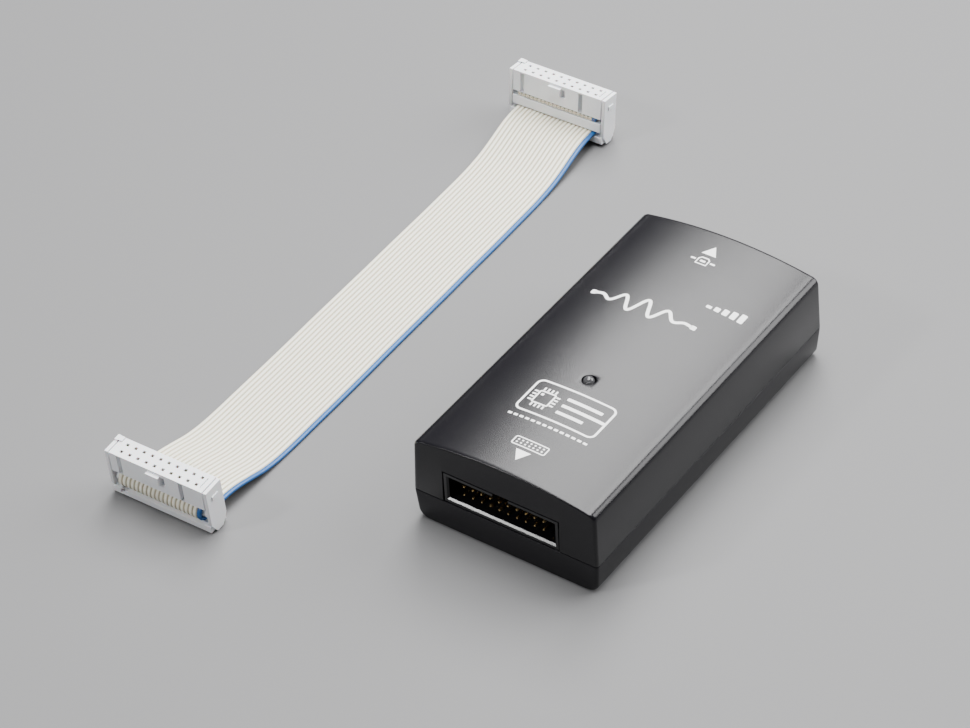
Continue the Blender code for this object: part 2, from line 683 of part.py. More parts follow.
# ---------------------------------------------------------------- build
def main():
    """Build every piece of the programmer and its lead."""
    clear_scene()
    case_plastic = make_material("case_plastic", (0.028, 0.028, 0.032), 0.45)
    header_plastic = make_material("header_plastic", (0.012, 0.012, 0.012), 0.35)
    gold = make_material("gold_plate", (0.80, 0.58, 0.24), 0.25, 1.0)
    shield_metal = make_material("shield_metal", (0.62, 0.62, 0.60), 0.30, 1.0)
    board_green = make_material("board_laminate", (0.02, 0.16, 0.07), 0.40)
    chip_black = make_material("chip_resin", (0.03, 0.03, 0.03), 0.55)
    sleeve = make_material("capacitor_can", (0.70, 0.70, 0.72), 0.30, 1.0)
    tan = make_material("fuse_ceramic", (0.45, 0.38, 0.12), 0.50)
    lamp_clear = make_material("lamp_lens", (0.55, 0.55, 0.52), 0.10)
    screw_steel = make_material("screw_steel", (0.45, 0.45, 0.45), 0.35, 1.0)
    label_film = make_material("label_film", (0.75, 0.75, 0.73), 0.40)
    socket_white = make_material("socket_plastic", (0.78, 0.78, 0.80), 0.45)
    ribbon_vinyl = make_material("ribbon_vinyl", (0.72, 0.70, 0.60), 0.45)

    build_bottom_shell(case_plastic)
    build_top_shell(case_plastic)
    build_label(label_film)
    build_board(board_green)
    build_screws(screw_steel)
    build_header(header_plastic, gold)
    build_usb(shield_metal, header_plastic, gold)
    build_components(chip_black, shield_metal, sleeve, tan)
    build_lamp(lamp_clear, header_plastic, shield_metal)
    build_socket("near", NEAR_SOCKET, NEAR_LEAN, -1, socket_white)
    build_socket("far", FAR_SOCKET, FAR_LEAN, 1, socket_white)
    build_ribbon(ribbon_vinyl)


main()
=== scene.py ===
"""Detailed visual model of a USB microcontroller programmer and its flat target lead.

Frame: metres, +Z up, origin at the bottom centre of the case. The target header looks
along -Y and the USB receptacle along +Y. The lead lies beside the case at -X.
"""

import logging
import math
from dataclasses import dataclass
from enum import Enum
from typing import Callable, Sequence, Union

import bmesh
import bpy
from mathutils import Matrix, Quaternion, Vector


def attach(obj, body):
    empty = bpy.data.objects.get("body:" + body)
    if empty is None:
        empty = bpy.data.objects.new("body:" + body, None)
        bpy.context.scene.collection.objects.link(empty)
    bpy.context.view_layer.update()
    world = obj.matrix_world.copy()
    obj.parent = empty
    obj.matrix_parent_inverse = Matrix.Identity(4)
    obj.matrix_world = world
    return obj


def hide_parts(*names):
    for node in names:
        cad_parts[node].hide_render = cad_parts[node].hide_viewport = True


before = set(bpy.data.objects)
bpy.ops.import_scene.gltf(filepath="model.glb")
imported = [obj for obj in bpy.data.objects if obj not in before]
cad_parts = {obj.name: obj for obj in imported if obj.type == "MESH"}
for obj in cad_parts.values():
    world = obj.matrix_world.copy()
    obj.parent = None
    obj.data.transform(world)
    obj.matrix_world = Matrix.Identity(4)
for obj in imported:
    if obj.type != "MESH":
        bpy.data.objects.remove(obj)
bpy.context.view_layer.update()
log = logging.getLogger("programmer")

Point = Sequence[float]
Colour = tuple[float, float, float]
MM = 0.001


# ---------------------------------------------------------------- bodies and outlines
class Body(Enum):
    """Moving body that a piece rides on."""

    BASE = "base"
    LID = "lid"
    LEAD = "lead"


def arc(centre: Point, radius: float, start: float, end: float, steps: int) -> list[tuple[float, float]]:
    """Return points on an arc, both ends included.

    Args:
        centre: Centre of the arc in its plane.
        radius: Radius in metres.
        start: First angle in degrees.
        end: Last angle in degrees.
        steps: Number of equal steps.

    Returns:
        The points in order.
    """
    angles = [math.radians(start + (end - start) * i / steps) for i in range(steps + 1)]
    return [(centre[0] + radius * math.cos(a), centre[1] + radius * math.sin(a)) for a in angles]


def rounded_outline(width: float, length: float, radius: float, steps: int = 5) -> list[tuple[float, float]]:
    """Return a rounded rectangle about the origin, anticlockwise.

    Args:
        width: Size along the first axis.
        length: Size along the second axis.
        radius: Corner radius.
        steps: Steps in each corner.

    Returns:
        The outline's points.
    """
    x, y = width / 2 - radius, length / 2 - radius
    corners = [((x, y), 0), ((-x, y), 90), ((-x, -y), 180), ((x, -y), 270)]
    return [p for centre, start in corners for p in arc(centre, radius, start, start + 90, steps)]


def frame_at(origin: Point, across: Vector, along: Vector) -> Matrix:
    """Return the frame whose X is across, Y is along and Z is their cross product.

    Args:
        origin: Place of the frame.
        across: Unit vector of the frame's X axis.
        along: Unit vector of the frame's Y axis.

    Returns:
        The frame as a matrix.
    """
    up = across.cross(along).normalized()
    axes = Matrix((across, along, up)).transposed().to_4x4()
    return Matrix.Translation(Vector(origin)) @ axes


def frames_along(route: Sequence[Point], across: Vector) -> list[Matrix]:
    """Return one frame at each point of a route that bends about one axis.

    Args:
        route: Points of the centre line.
        across: Unit vector at right angles to the route's bends.

    Returns:
        Frames whose Y axis follows the route.
    """
    points = [Vector(p) for p in route]
    last = len(points) - 1
    return [frame_at(p, across, (points[min(i + 1, last)] - points[max(i - 1, 0)]).normalized())
            for i, p in enumerate(points)]


# ---------------------------------------------------------------- bmesh helpers
def new_verts(made: dict) -> list[bmesh.types.BMVert]:
    """Return the vertices among an operator's results."""
    return [g for g in made["geom"] if isinstance(g, bmesh.types.BMVert)]


def sweep(outline: Sequence[Point], frames: Sequence[Matrix], closed: bool = True,
          capped: bool = True) -> bmesh.types.BMesh:
    """Extrude an outline from frame to frame.

    Args:
        outline: Points (x, z) in the frames' XZ plane.
        frames: Frames in order, at least two.
        closed: Whether the outline's ends are joined.
        capped: Whether the first and last rings are filled.

    Returns:
        The swept bmesh.
    """
    bm = bmesh.new()
    order = bm.verts.layers.int.new("order")
    station = bm.verts.layers.int.new("station")
    ring = []
    for i, (x, z) in enumerate(outline):
        vert = bm.verts.new(frames[0] @ Vector((x, 0.0, z)))
        vert[order] = i
        ring.append(vert)
    after = ring[1:] + (ring[:1] if closed else [])
    edges = [bm.edges.new(pair) for pair in zip(ring, after)]
    caps = [ring]
    for k, (here, there) in enumerate(zip(frames, frames[1:]), start=1):
        made = bmesh.ops.extrude_edge_only(bm, edges=edges)
        verts = new_verts(made)
        edges = [g for g in made["geom"] if isinstance(g, bmesh.types.BMEdge)]
        bmesh.ops.transform(bm, matrix=there @ here.inverted(), verts=verts)
        for vert in verts:
            vert[station] = k
        ring = sorted(verts, key=lambda v: v[order])
    caps.append(ring)
    if capped:
        for cap in caps:
            bm.faces.new(cap)
    bmesh.ops.recalc_face_normals(bm, faces=bm.faces)
    return bm


def prism(outline: Sequence[Point], start: Point, end: Point) -> bmesh.types.BMesh:
    """Extrude a closed (x, z) outline along Y, or an (x, y) outline along Z.

    Args:
        outline: Points of the outline.
        start: Place of the outline's origin at one end.
        end: Place of the outline's origin at the other end.

    Returns:
        The closed prism.
    """
    upright = abs(end[2] - start[2]) > abs(end[1] - start[1])
    axes = Matrix.Rotation(math.radians(-90), 4, "X") if upright else Matrix()
    points = [(x, -y) for x, y in outline] if upright else outline
    axes = axes.inverted() if upright else axes
    return sweep(points, [Matrix.Translation(p) @ axes for p in (start, end)])


def block(low: Point, high: Point, bevel: float = 0.0, segments: int = 2) -> bmesh.types.BMesh:
    """Return a box between two corners with its edges rounded.

    Args:
        low: Lowest corner.
        high: Highest corner.
        bevel: Width of the rounding, or 0 for none.
        segments: Segments of the rounding.

    Returns:
        The box.
    """
    bm = bmesh.new()
    size = [b - a for a, b in zip(low, high)]
    middle = [(a + b) / 2 for a, b in zip(low, high)]
    place = Matrix.Translation(middle) @ Matrix.Diagonal((*size, 1.0))
    bmesh.ops.create_cube(bm, size=1.0, matrix=place)
    if bevel:
        round_edges(bm, bm.edges[:], bevel, segments)
    return bm


def round_edges(bm: bmesh.types.BMesh, edges: Sequence[bmesh.types.BMEdge], width: float,
                segments: int = 2) -> None:
    """Round some edges of a bmesh.

    Args:
        bm: The bmesh.
        edges: Edges to round.
        width: Width of the rounding.
        segments: Segments of the rounding.
    """
    bmesh.ops.bevel(bm, geom=list(edges), offset=width, offset_type="OFFSET", affect="EDGES",
                    segments=segments, profile=0.5, material=-1, clamp_overlap=True)


def turned(profile: Sequence[Point], place: Point, steps: int = 32) -> bmesh.types.BMesh:
    """Spin a (radius, z) profile about an upright axis.

    Args:
        profile: Points from axis to axis.
        place: Where the axis stands; its z is added to the profile.
        steps: Steps of the full turn.

    Returns:
        The turned solid.
    """
    bm = bmesh.new()
    verts = [bm.verts.new((r, 0.0, z)) for r, z in profile]
    edges = [bm.edges.new(pair) for pair in zip(verts, verts[1:])]
    bmesh.ops.spin(bm, geom=verts + edges, cent=(0, 0, 0), axis=(0, 0, 1), angle=math.tau,
                   steps=steps, use_merge=True)
    bmesh.ops.remove_doubles(bm, verts=bm.verts, dist=1e-7)
    bmesh.ops.recalc_face_normals(bm, faces=bm.faces)
    bmesh.ops.translate(bm, verts=bm.verts, vec=place)
    return bm


def add(bm: bmesh.types.BMesh, part: bmesh.types.BMesh, place: Matrix = Matrix()) -> None:
    """Add a copy of one bmesh to another and free it.

    Args:
        bm: The bmesh that grows.
        part: The bmesh that is used up.
        place: Where the part goes.
    """
    bmesh.ops.transform(part, matrix=place, verts=part.verts)
    mesh = bpy.data.meshes.new("part")
    part.to_mesh(mesh)
    part.free()
    bm.from_mesh(mesh)
    bpy.data.meshes.remove(mesh)


def slice_at(bm: bmesh.types.BMesh, axis: int, *values: float,
             faces: Union[Sequence[bmesh.types.BMFace], None] = None) -> None:
    """Cut faces with planes at right angles to an axis.

    Args:
        bm: The bmesh.
        axis: 0, 1 or 2 for X, Y or Z.
        values: Where the planes stand on that axis.
        faces: The faces to cut, or all of them.
    """
    normal = [0.0, 0.0, 0.0]
    normal[axis] = 1.0
    chosen = list(bm.faces if faces is None else faces)
    for value in values:
        origin = [value * n for n in normal]
        chosen = [f for f in chosen if f.is_valid]
        geom = set(chosen) | {e for f in chosen for e in f.edges} | {v for f in chosen for v in f.verts}
        made = bmesh.ops.bisect_plane(bm, geom=list(geom), plane_co=origin, plane_no=normal, dist=1e-8)
        if faces is None:
            chosen = bm.faces[:]
        else:
            chosen = [g for g in made["geom"] if isinstance(g, bmesh.types.BMFace)]


def faces_in(bm: bmesh.types.BMesh, low: Point, high: Point,
             normal: Union[Point, None] = None) -> list[bmesh.types.BMFace]:
    """Return the faces whose centres lie in a box and that look one way.

    Args:
        bm: The bmesh.
        low: Lowest corner of the box.
        high: Highest corner of the box.
        normal: Direction that they face, or None for any.

    Returns:
        The faces.
    """
    found = []
    for face in bm.faces:
        centre = face.calc_center_median()
        if all(a <= c <= b for a, c, b in zip(low, centre, high)):
            if normal is None or face.normal.dot(Vector(normal)) > 0.9:
                found.append(face)
    return found


def push(bm: bmesh.types.BMesh, faces: Sequence[bmesh.types.BMFace], offset: Point,
         flare: float = 0.0) -> None:
    """Merge touching faces and push them in or out of the surface.

    Args:
        bm: The bmesh.
        faces: Coplanar faces.
        offset: How far they go.
        flare: Width of a chamfer made round their rim first, or 0.
    """
    if len(faces) > 1:
        faces = bmesh.ops.dissolve_faces(bm, faces=list(faces), use_verts=True)["region"]
    if flare:
        bmesh.ops.inset_individual(bm, faces=list(faces), thickness=flare, depth=-flare,
                                   use_even_offset=True)
    made = bmesh.ops.extrude_discrete_faces(bm, faces=list(faces))["faces"]
    verts = list({v for face in made for v in face.verts})
    bmesh.ops.translate(bm, verts=verts, vec=offset)


# ---------------------------------------------------------------- shader maths
class Signal:
    """A value socket that takes part in plain arithmetic."""

    def __init__(self, book: "NodeBook", socket: bpy.types.NodeSocket) -> None:
        """Keep the socket and the material that it belongs to."""
        self.book, self.socket = book, socket

    def maths(self, operation: str, *others: Union["Signal", float], clamp: bool = False,
              swapped: bool = False) -> "Signal":
        """Add one Math node.

        Args:
            operation: The Math node's operation.
            others: Its other inputs.
            clamp: Whether the result is kept from 0 to 1.
            swapped: Whether this signal is the second input.

        Returns:
            The node's result.
        """
        values = [*others, self] if swapped else [self, *others]
        settings = {"operation": operation, "use_clamp": clamp}
        return self.book.signal("ShaderNodeMath", settings, dict(enumerate(values)))

    def __add__(self, other: Union["Signal", float]) -> "Signal":
        """Return self + other."""
        return self.maths("ADD", other)

    __radd__ = __add__

    def __mul__(self, other: Union["Signal", float]) -> "Signal":
        """Return self * other."""
        return self.maths("MULTIPLY", other)

    __rmul__ = __mul__

    def __sub__(self, other: Union["Signal", float]) -> "Signal":
        """Return self - other."""
        return self.maths("SUBTRACT", other)

    def __rsub__(self, other: Union["Signal", float]) -> "Signal":
        """Return other - self."""
        return self.maths("SUBTRACT", other, swapped=True)

    def __truediv__(self, other: Union["Signal", float]) -> "Signal":
        """Return self / other."""
        return self.maths("DIVIDE", other)

    def __pow__(self, other: Union["Signal", float]) -> "Signal":
        """Return self to the power of other."""
        return self.maths("POWER", other)

    def size(self) -> "Signal":
        """Return the absolute value."""
        return self.maths("ABSOLUTE")

    def most(self, other: Union["Signal", float]) -> "Signal":
        """Return the larger of two values."""
        return self.maths("MAXIMUM", other)

    def least(self, other: Union["Signal", float]) -> "Signal":
        """Return the smaller of two values."""
        return self.maths("MINIMUM", other)

    def wave(self) -> "Signal":
        """Return the sine."""
        return self.maths("SINE")

    def ease(self, low: float, high: float, start: float = 0.0, end: float = 1.0) -> "Signal":
        """Rise smoothly from start at low to end at high.

        Args:
            low: Where the rise begins.
            high: Where the rise ends.
            start: Result at and before low.
            end: Result at and after high.

        Returns:
            The eased value.
        """
        sockets = {"Value": self, "From Min": low, "From Max": high, "To Min": start, "To Max": end}
        return self.book.signal("ShaderNodeMapRange", {"interpolation_type": "SMOOTHSTEP"}, sockets)


Input = Union[Signal, bpy.types.NodeSocket, float, Sequence[float]]


class NodeBook:
    """Node tree of one material, with a few short ways to fill it."""

    def __init__(self, name: str) -> None:
        """Make an empty Principled material."""
        self.material = bpy.data.materials.new(name)
        self.material.use_nodes = True
        self.tree = self.material.node_tree
        self.shader = self.tree.nodes["Principled BSDF"]
        self._place: Union[bpy.types.NodeSocket, None] = None

    def feed(self, node: bpy.types.Node, sockets: dict[Union[str, int], Input]) -> None:
        """Set or link some sockets of a node.

        Args:
            node: The node.
            sockets: Value, socket or signal by the input's name or number.
        """
        for key, value in sockets.items():
            target = node.inputs[key]
            if isinstance(value, Signal):
                self.tree.links.new(value.socket, target)
            elif isinstance(value, bpy.types.NodeSocket):
                self.tree.links.new(value, target)
            elif target.type == "RGBA" and len(value) == 3:
                target.default_value = (*value, 1.0)
            else:
                target.default_value = value

    def node(self, kind: str, settings: Union[dict, None] = None,
             sockets: Union[dict[Union[str, int], Input], None] = None) -> bpy.types.Node:
        """Add a node.

        Args:
            kind: The node's type.
            settings: Properties that are set first; "stops" fills a colour ramp.
            sockets: Values or links of its inputs.

        Returns:
            The new node.
        """
        made = self.tree.nodes.new(kind)
        for key, value in (settings or {}).items():
            if key == "stops":
                ramp = made.color_ramp
                while len(ramp.elements) < len(value):
                    ramp.elements.new(0.5)
                for element, (position, colour) in zip(ramp.elements, value):
                    element.position, element.color = position, (*colour, 1.0)
            else:
                setattr(made, key, value)
        self.feed(made, sockets or {})
        return made

    def signal(self, kind: str, settings: Union[dict, None] = None,
               sockets: Union[dict[Union[str, int], Input], None] = None,
               output: Union[str, int] = 0) -> Signal:
        """Add a node and return one of its outputs as a signal."""
        return Signal(self, self.node(kind, settings, sockets).outputs[output])

    @property
    def place(self) -> bpy.types.NodeSocket:
        """The surface point in object coordinates."""
        if self._place is None:
            self._place = self.node("ShaderNodeTexCoord").outputs["Object"]
        return self._place

    def axes(self) -> tuple[Signal, Signal, Signal]:
        """Return the three object coordinates as signals."""
        made = self.node("ShaderNodeSeparateXYZ", sockets={0: self.place})
        return Signal(self, made.outputs[0]), Signal(self, made.outputs[1]), Signal(self, made.outputs[2])

    def attribute(self, name: str) -> Signal:
        """Return a number that the mesh carries."""
        return self.signal("ShaderNodeAttribute", {"attribute_name": name}, output="Fac")

    def stretched(self, scale: Point) -> bpy.types.NodeSocket:
        """Return the surface point scaled along each axis."""
        sockets = {"Vector": self.place, "Scale": tuple(scale)}
        return self.node("ShaderNodeMapping", sockets=sockets).outputs[0]

    def noise(self, scale: float, detail: float = 2.0, roughness: float = 0.5,
              place: Union[bpy.types.NodeSocket, None] = None) -> Signal:
        """Return cloudy noise from 0 to 1.

        Args:
            scale: Features per metre.
            detail: Octaves.
            roughness: Weight of the finer octaves.
            place: Where it is read, or None for object coordinates.

        Returns:
            The noise.
        """
        sockets = {"Vector": place or self.place, "Scale": scale, "Detail": detail,
                   "Roughness": roughness}
        return self.signal("ShaderNodeTexNoise", None, sockets, "Fac")

    def cells(self, scale: float, feature: str = "F1",
              place: Union[bpy.types.NodeSocket, None] = None) -> Signal:
        """Return the distance in a field of random cells.

        Args:
            scale: Cells per metre.
            feature: Which distance.
            place: Where it is read, or None for object coordinates.

        Returns:
            The distance.
        """
        sockets = {"Vector": place or self.place, "Scale": scale}
        return self.signal("ShaderNodeTexVoronoi", {"feature": feature}, sockets, "Distance")

    def mix(self, factor: Input, first: Input, second: Input) -> bpy.types.NodeSocket:
        """Blend two colours.

        Args:
            factor: 0 for the first, 1 for the second.
            first: A colour or its socket.
            second: A colour or its socket.

        Returns:
            The blended colour.
        """
        settings = {"data_type": "RGBA", "blend_type": "MIX"}
        return self.node("ShaderNodeMix", settings, {0: factor, 6: first, 7: second}).outputs[2]

    def bump(self, height: Signal, depth: float, strength: float = 1.0,
             under: Union[bpy.types.NodeSocket, None] = None) -> bpy.types.NodeSocket:
        """Turn a height into a surface normal.

        Args:
            height: Height from 0 to 1.
            depth: Metres from 0 to 1.
            strength: Weight of the effect.
            under: Another bump that this one lies on.

        Returns:
            The normal.
        """
        sockets = {"Height": height, "Distance": depth, "Strength": strength}
        if under is not None:
            sockets["Normal"] = under
        return self.node("ShaderNodeBump", sockets=sockets).outputs[0]

    def surface(self, **sockets: Input) -> bpy.types.Material:
        """Fill the shader's sockets; an underscore in a name stands for a space.

        Args:
            sockets: Values or links by socket name.

        Returns:
            The finished material.
        """
        self.feed(self.shader, {key.replace("_", " "): value for key, value in sockets.items()})
        return self.material


# ---------------------------------------------------------------- finishes
@dataclass(frozen=True)
class SparkGrainPlastic:
    """Dark moulded plastic with the fine grain of a spark-eroded tool.

    The edges that hands and tables rub are a little smoother and paler.
    """

    name: str = "case_plastic_black"
    colour: Colour = (0.0040, 0.0036, 0.0054)
    rubbed: Colour = (0.0080, 0.0080, 0.0092)
    half_width: float = 0.0262
    half_length: float = 0.0513
    grain: float = 3300.0
    depth: float = 0.000018

    def material(self) -> bpy.types.Material:
        """Build the material."""
        book = NodeBook(self.name)
        x, y, z = book.axes()
        pits = book.cells(self.grain)
        fine = book.noise(self.grain * 2.1, 3.0, 0.6)
        cloud = book.noise(55.0, 3.0, 0.55)
        dust = book.noise(620.0, 4.0, 0.65).ease(0.66, 0.78)
        side = (x.size() - self.half_width).size().ease(0.0, 0.0010, 1.0, 0.0)
        end = (y.size() - self.half_length).size().ease(0.0, 0.0008, 1.0, 0.0)
        rims = (side * (z.ease(0.0225, 0.0240) + z.ease(0.0020, 0.0005)).most(end)).least(1.0)
        worn = rims * book.noise(900.0, 4.0, 0.6).ease(0.40, 0.62)
        tone = book.mix(worn * 0.7, self.colour, self.rubbed)
        tone = book.mix(cloud.ease(0.35, 0.75) * 0.35, tone, (0.0042, 0.0042, 0.0050))
        tone = book.mix(dust * 0.03, tone, (0.060, 0.058, 0.054))
        rough = 0.20 + cloud * 0.05 - worn * 0.04 + fine * 0.05
        height = pits * 0.7 + fine * 0.5
        return book.surface(Base_Color=tone, Roughness=rough, Specular_IOR_Level=0.34,
                            Normal=book.bump(height, self.depth, 0.9))


@dataclass(frozen=True)
class MouldedPlastic:
    """Smooth technical plastic with faint flow marks and a satin skin."""

    name: str
    colour: Colour
    shade: Colour
    roughness: float = 0.38
    grain: float = 2600.0
    depth: float = 0.000006
    glow: float = 0.0

    def material(self) -> bpy.types.Material:
        """Build the material."""
        book = NodeBook(self.name)
        flow = book.noise(1.0, 3.0, 0.5, book.stretched((90.0, 260.0, 420.0)))
        grain = book.noise(self.grain, 3.0, 0.6)
        cloud = book.noise(160.0, 2.0)
        tone = book.mix(cloud.ease(0.30, 0.75) * 0.6, self.colour, self.shade)
        specks = book.noise(1500.0, 4.0, 0.7).ease(0.70, 0.80)
        tone = book.mix(specks * 0.18, tone, self.shade)
        rough = self.roughness + flow * 0.08 + grain * 0.06
        height = grain * 0.6 + flow * 0.6
        return book.surface(Base_Color=tone, Roughness=rough, Subsurface_Weight=self.glow,
                            Subsurface_Scale=0.0006, Normal=book.bump(height, self.depth, 0.8))


@dataclass(frozen=True)
class RibbonVinyl:
    """Soft vinyl of a flat cable: ivory conductors with one blue edge conductor, and painted shade that darkens the
    webs between the conductors.
    """

    name: str = "ribbon_vinyl_ivory"
    ways: int = 20
    ivory: Colour = (0.80, 0.78, 0.66)
    # painted shade: dark brownish colour laid in the webs between the conductors
    groove: Colour = (0.38, 0.33, 0.21)
    blue: Colour = (0.002, 0.080, 0.270)

    def material(self) -> bpy.types.Material:
        """Build the material from the across and along numbers of the mesh."""
        book = NodeBook(self.name)
        across, along = book.attribute("across"), book.attribute("along")
        ways = across * float(self.ways)
        phase = (ways * math.tau + math.pi / 2).wave() * 0.5 + 0.5
        # mask of the webs between the conductors, where the painted shade goes
        web = phase.ease(0.30, 0.95)
        way = ways.maths("FLOOR")
        streaks = book.node("ShaderNodeCombineXYZ", sockets={0: way * 7.3, 1: along * 9.0, 2: 0.0})
        streak = book.noise(1.0, 3.0, 0.6, streaks.outputs[0])
        grime = book.noise(230.0, 4.0, 0.6)
        tone = book.mix(streak.ease(0.25, 0.80) * 0.55, self.ivory, (0.86, 0.84, 0.735))
        # painted shade in the grooves between the conductors
        tone = book.mix(web * 0.75, tone, self.groove)
        tone = book.mix(grime.ease(0.52, 0.80) * 0.20, tone, (0.58, 0.54, 0.42))
        edge = (across - (1.0 - 0.98 / self.ways)).maths("GREATER_THAN", 0.0)
        blue = book.mix(streak.ease(0.30, 0.80) * 0.4, self.blue, (0.005, 0.13, 0.38))
        tone = book.mix(edge, tone, blue)
        skin = book.noise(2400.0, 3.0, 0.6)
        rough = 0.40 + streak * 0.10 + web * 0.12
        ripple = book.noise(1.0, 2.0, 0.5, book.stretched((500.0, 45.0, 500.0)))
        return book.surface(Base_Color=tone, Roughness=rough, Subsurface_Weight=0.08,
                            Subsurface_Scale=0.0005, Coat_Weight=0.06, Coat_Roughness=0.30,
                            Normal=book.bump(skin * 0.4 + ripple, 0.000010, 0.7))


@dataclass(frozen=True)
class PlatedMetal:
    """Plated or drawn metal with fine draw lines and dull patches."""

    name: str
    colour: Colour
    dull: Colour
    roughness: float = 0.24
    lines: Point = (900.0, 60.0, 900.0)
    depth: float = 0.000004

    def material(self) -> bpy.types.Material:
        """Build the material."""
        book = NodeBook(self.name)
        lines = book.noise(1.0, 3.0, 0.6, book.stretched(self.lines))
        cloud = book.noise(420.0, 3.0, 0.6)
        tone = book.mix(cloud.ease(0.40, 0.80) * 0.7, self.colour, self.dull)
        rough = self.roughness + cloud.ease(0.35, 0.8) * 0.16 + lines * 0.08
        return book.surface(Base_Color=tone, Roughness=rough, Metallic=1.0,
                            Normal=book.bump(lines + cloud * 0.4, self.depth, 0.8))


@dataclass(frozen=True)
class ScreenInk:
    """White screen-printing ink with pin holes and a slightly ragged cover."""

    name: str = "print_ink_white"
    colour: Colour = (0.93, 0.93, 0.92)
    thin: Colour = (0.70, 0.70, 0.70)

    def material(self) -> bpy.types.Material:
        """Build the material."""
        book = NodeBook(self.name)
        cover = book.noise(2100.0, 4.0, 0.7)
        cloud = book.noise(300.0, 2.0)
        tone = book.mix(cover.ease(0.56, 0.76) * 0.55, self.colour, self.thin)
        tone = book.mix(cloud.ease(0.5, 0.8) * 0.25, tone, self.thin)
        rough = 0.42 + cover * 0.18
        return book.surface(Base_Color=tone, Roughness=rough,
                            Normal=book.bump(book.cells(3300.0) + cover * 0.5, 0.000010, 0.7))


@dataclass(frozen=True)
class LampResin:
    """Water-clear epoxy of a lamp lens, tinted dark grey as painted shade of the case's dark inside seen through it."""

    name: str = "lamp_resin_shade_tinted"
    # painted shade: dark grey tint standing in for the shaded inside of the case seen through the clear resin
    colour: Colour = (0.13, 0.13, 0.135)

    def material(self) -> bpy.types.Material:
        """Build the material."""
        book = NodeBook(self.name)
        haze = book.noise(700.0, 2.0)
        tone = book.mix(haze, self.colour, (0.08, 0.08, 0.085))
        return book.surface(Base_Color=tone, Roughness=0.09 + haze * 0.08, IOR=1.50,
                            Transmission_Weight=0.45, Normal=book.bump(haze, 0.000004, 0.4))


@dataclass(frozen=True)
class BoardLaminate:
    """Green solder mask over glass weave, with bare resin at the board's edges."""

    name: str = "board_laminate_green"
    mask: Colour = (0.006, 0.085, 0.034)
    deep: Colour = (0.004, 0.055, 0.024)
    resin: Colour = (0.26, 0.23, 0.11)
    half: tuple[float, float] = (0.0231, 0.0489)

    def material(self) -> bpy.types.Material:
        """Build the material."""
        book = NodeBook(self.name)
        x, y, _ = book.axes()
        weave = (x * 9000.0).wave() * (y * 9000.0).wave() * 0.5 + 0.5
        cloud = book.noise(120.0, 3.0)
        tone = book.mix(cloud.ease(0.35, 0.70), self.mask, self.deep)
        tone = book.mix(weave * 0.18, tone, (0.016, 0.130, 0.050))
        side = x.size().ease(self.half[0] - 0.00012, self.half[0] - 0.00004)
        end = y.size().ease(self.half[1] - 0.00012, self.half[1] - 0.00004)
        tone = book.mix(side.most(end), tone, self.resin)
        rough = 0.26 + cloud * 0.10 + side.most(end) * 0.40
        return book.surface(Base_Color=tone, Roughness=rough, Specular_IOR_Level=0.22,
                            Normal=book.bump(weave + cloud * 0.4, 0.000006, 0.7))


@dataclass(frozen=True)
class LabelFilm:
    """Blank matt film with a thin printed border and three empty fields."""

    name: str = "label_film_silver"
    film: Colour = (0.62, 0.62, 0.61)
    print: Colour = (0.10, 0.10, 0.11)
    size: tuple[float, float] = (0.0380, 0.0600)

    def material(self) -> bpy.types.Material:
        """Build the material."""
        book = NodeBook(self.name)
        x, y, _ = book.axes()
        inset_x, inset_y = self.size[0] / 2 - 0.0018, self.size[1] / 2 - 0.0018
        edge = (x.size() - inset_x).most(y.size() - inset_y)
        border = (edge.size() - 0.00018).ease(-0.00004, 0.00004, 1.0, 0.0)
        rows = ((y * (math.tau / 0.0140)).wave().size() - 0.02).ease(0.0, 0.02, 1.0, 0.0)
        rows = rows * x.size().ease(0.0138, 0.0140, 1.0, 0.0) * y.size().ease(0.0220, 0.0222, 1.0, 0.0)
        grain = book.noise(3000.0, 3.0, 0.6)
        tone = book.mix(border.most(rows) * 0.85, self.film, self.print)
        tone = book.mix(grain * 0.10, tone, (0.45, 0.45, 0.44))
        return book.surface(Base_Color=tone, Roughness=0.34 + grain * 0.10, Metallic=0.35,
                            Normal=book.bump(grain, 0.000004, 0.6))


@dataclass(frozen=True)
class StudioFloor:
    """Plain pale table top."""

    name: str = "studio_floor_pale"
    colour: Colour = (0.150, 0.150, 0.152)

    def material(self) -> bpy.types.Material:
        """Build the material."""
        book = NodeBook(self.name)
        cloud = book.noise(3.0, 3.0)
        tone = book.mix(cloud, self.colour, tuple(c * 0.97 for c in self.colour))
        return book.surface(Base_Color=tone, Roughness=0.62)


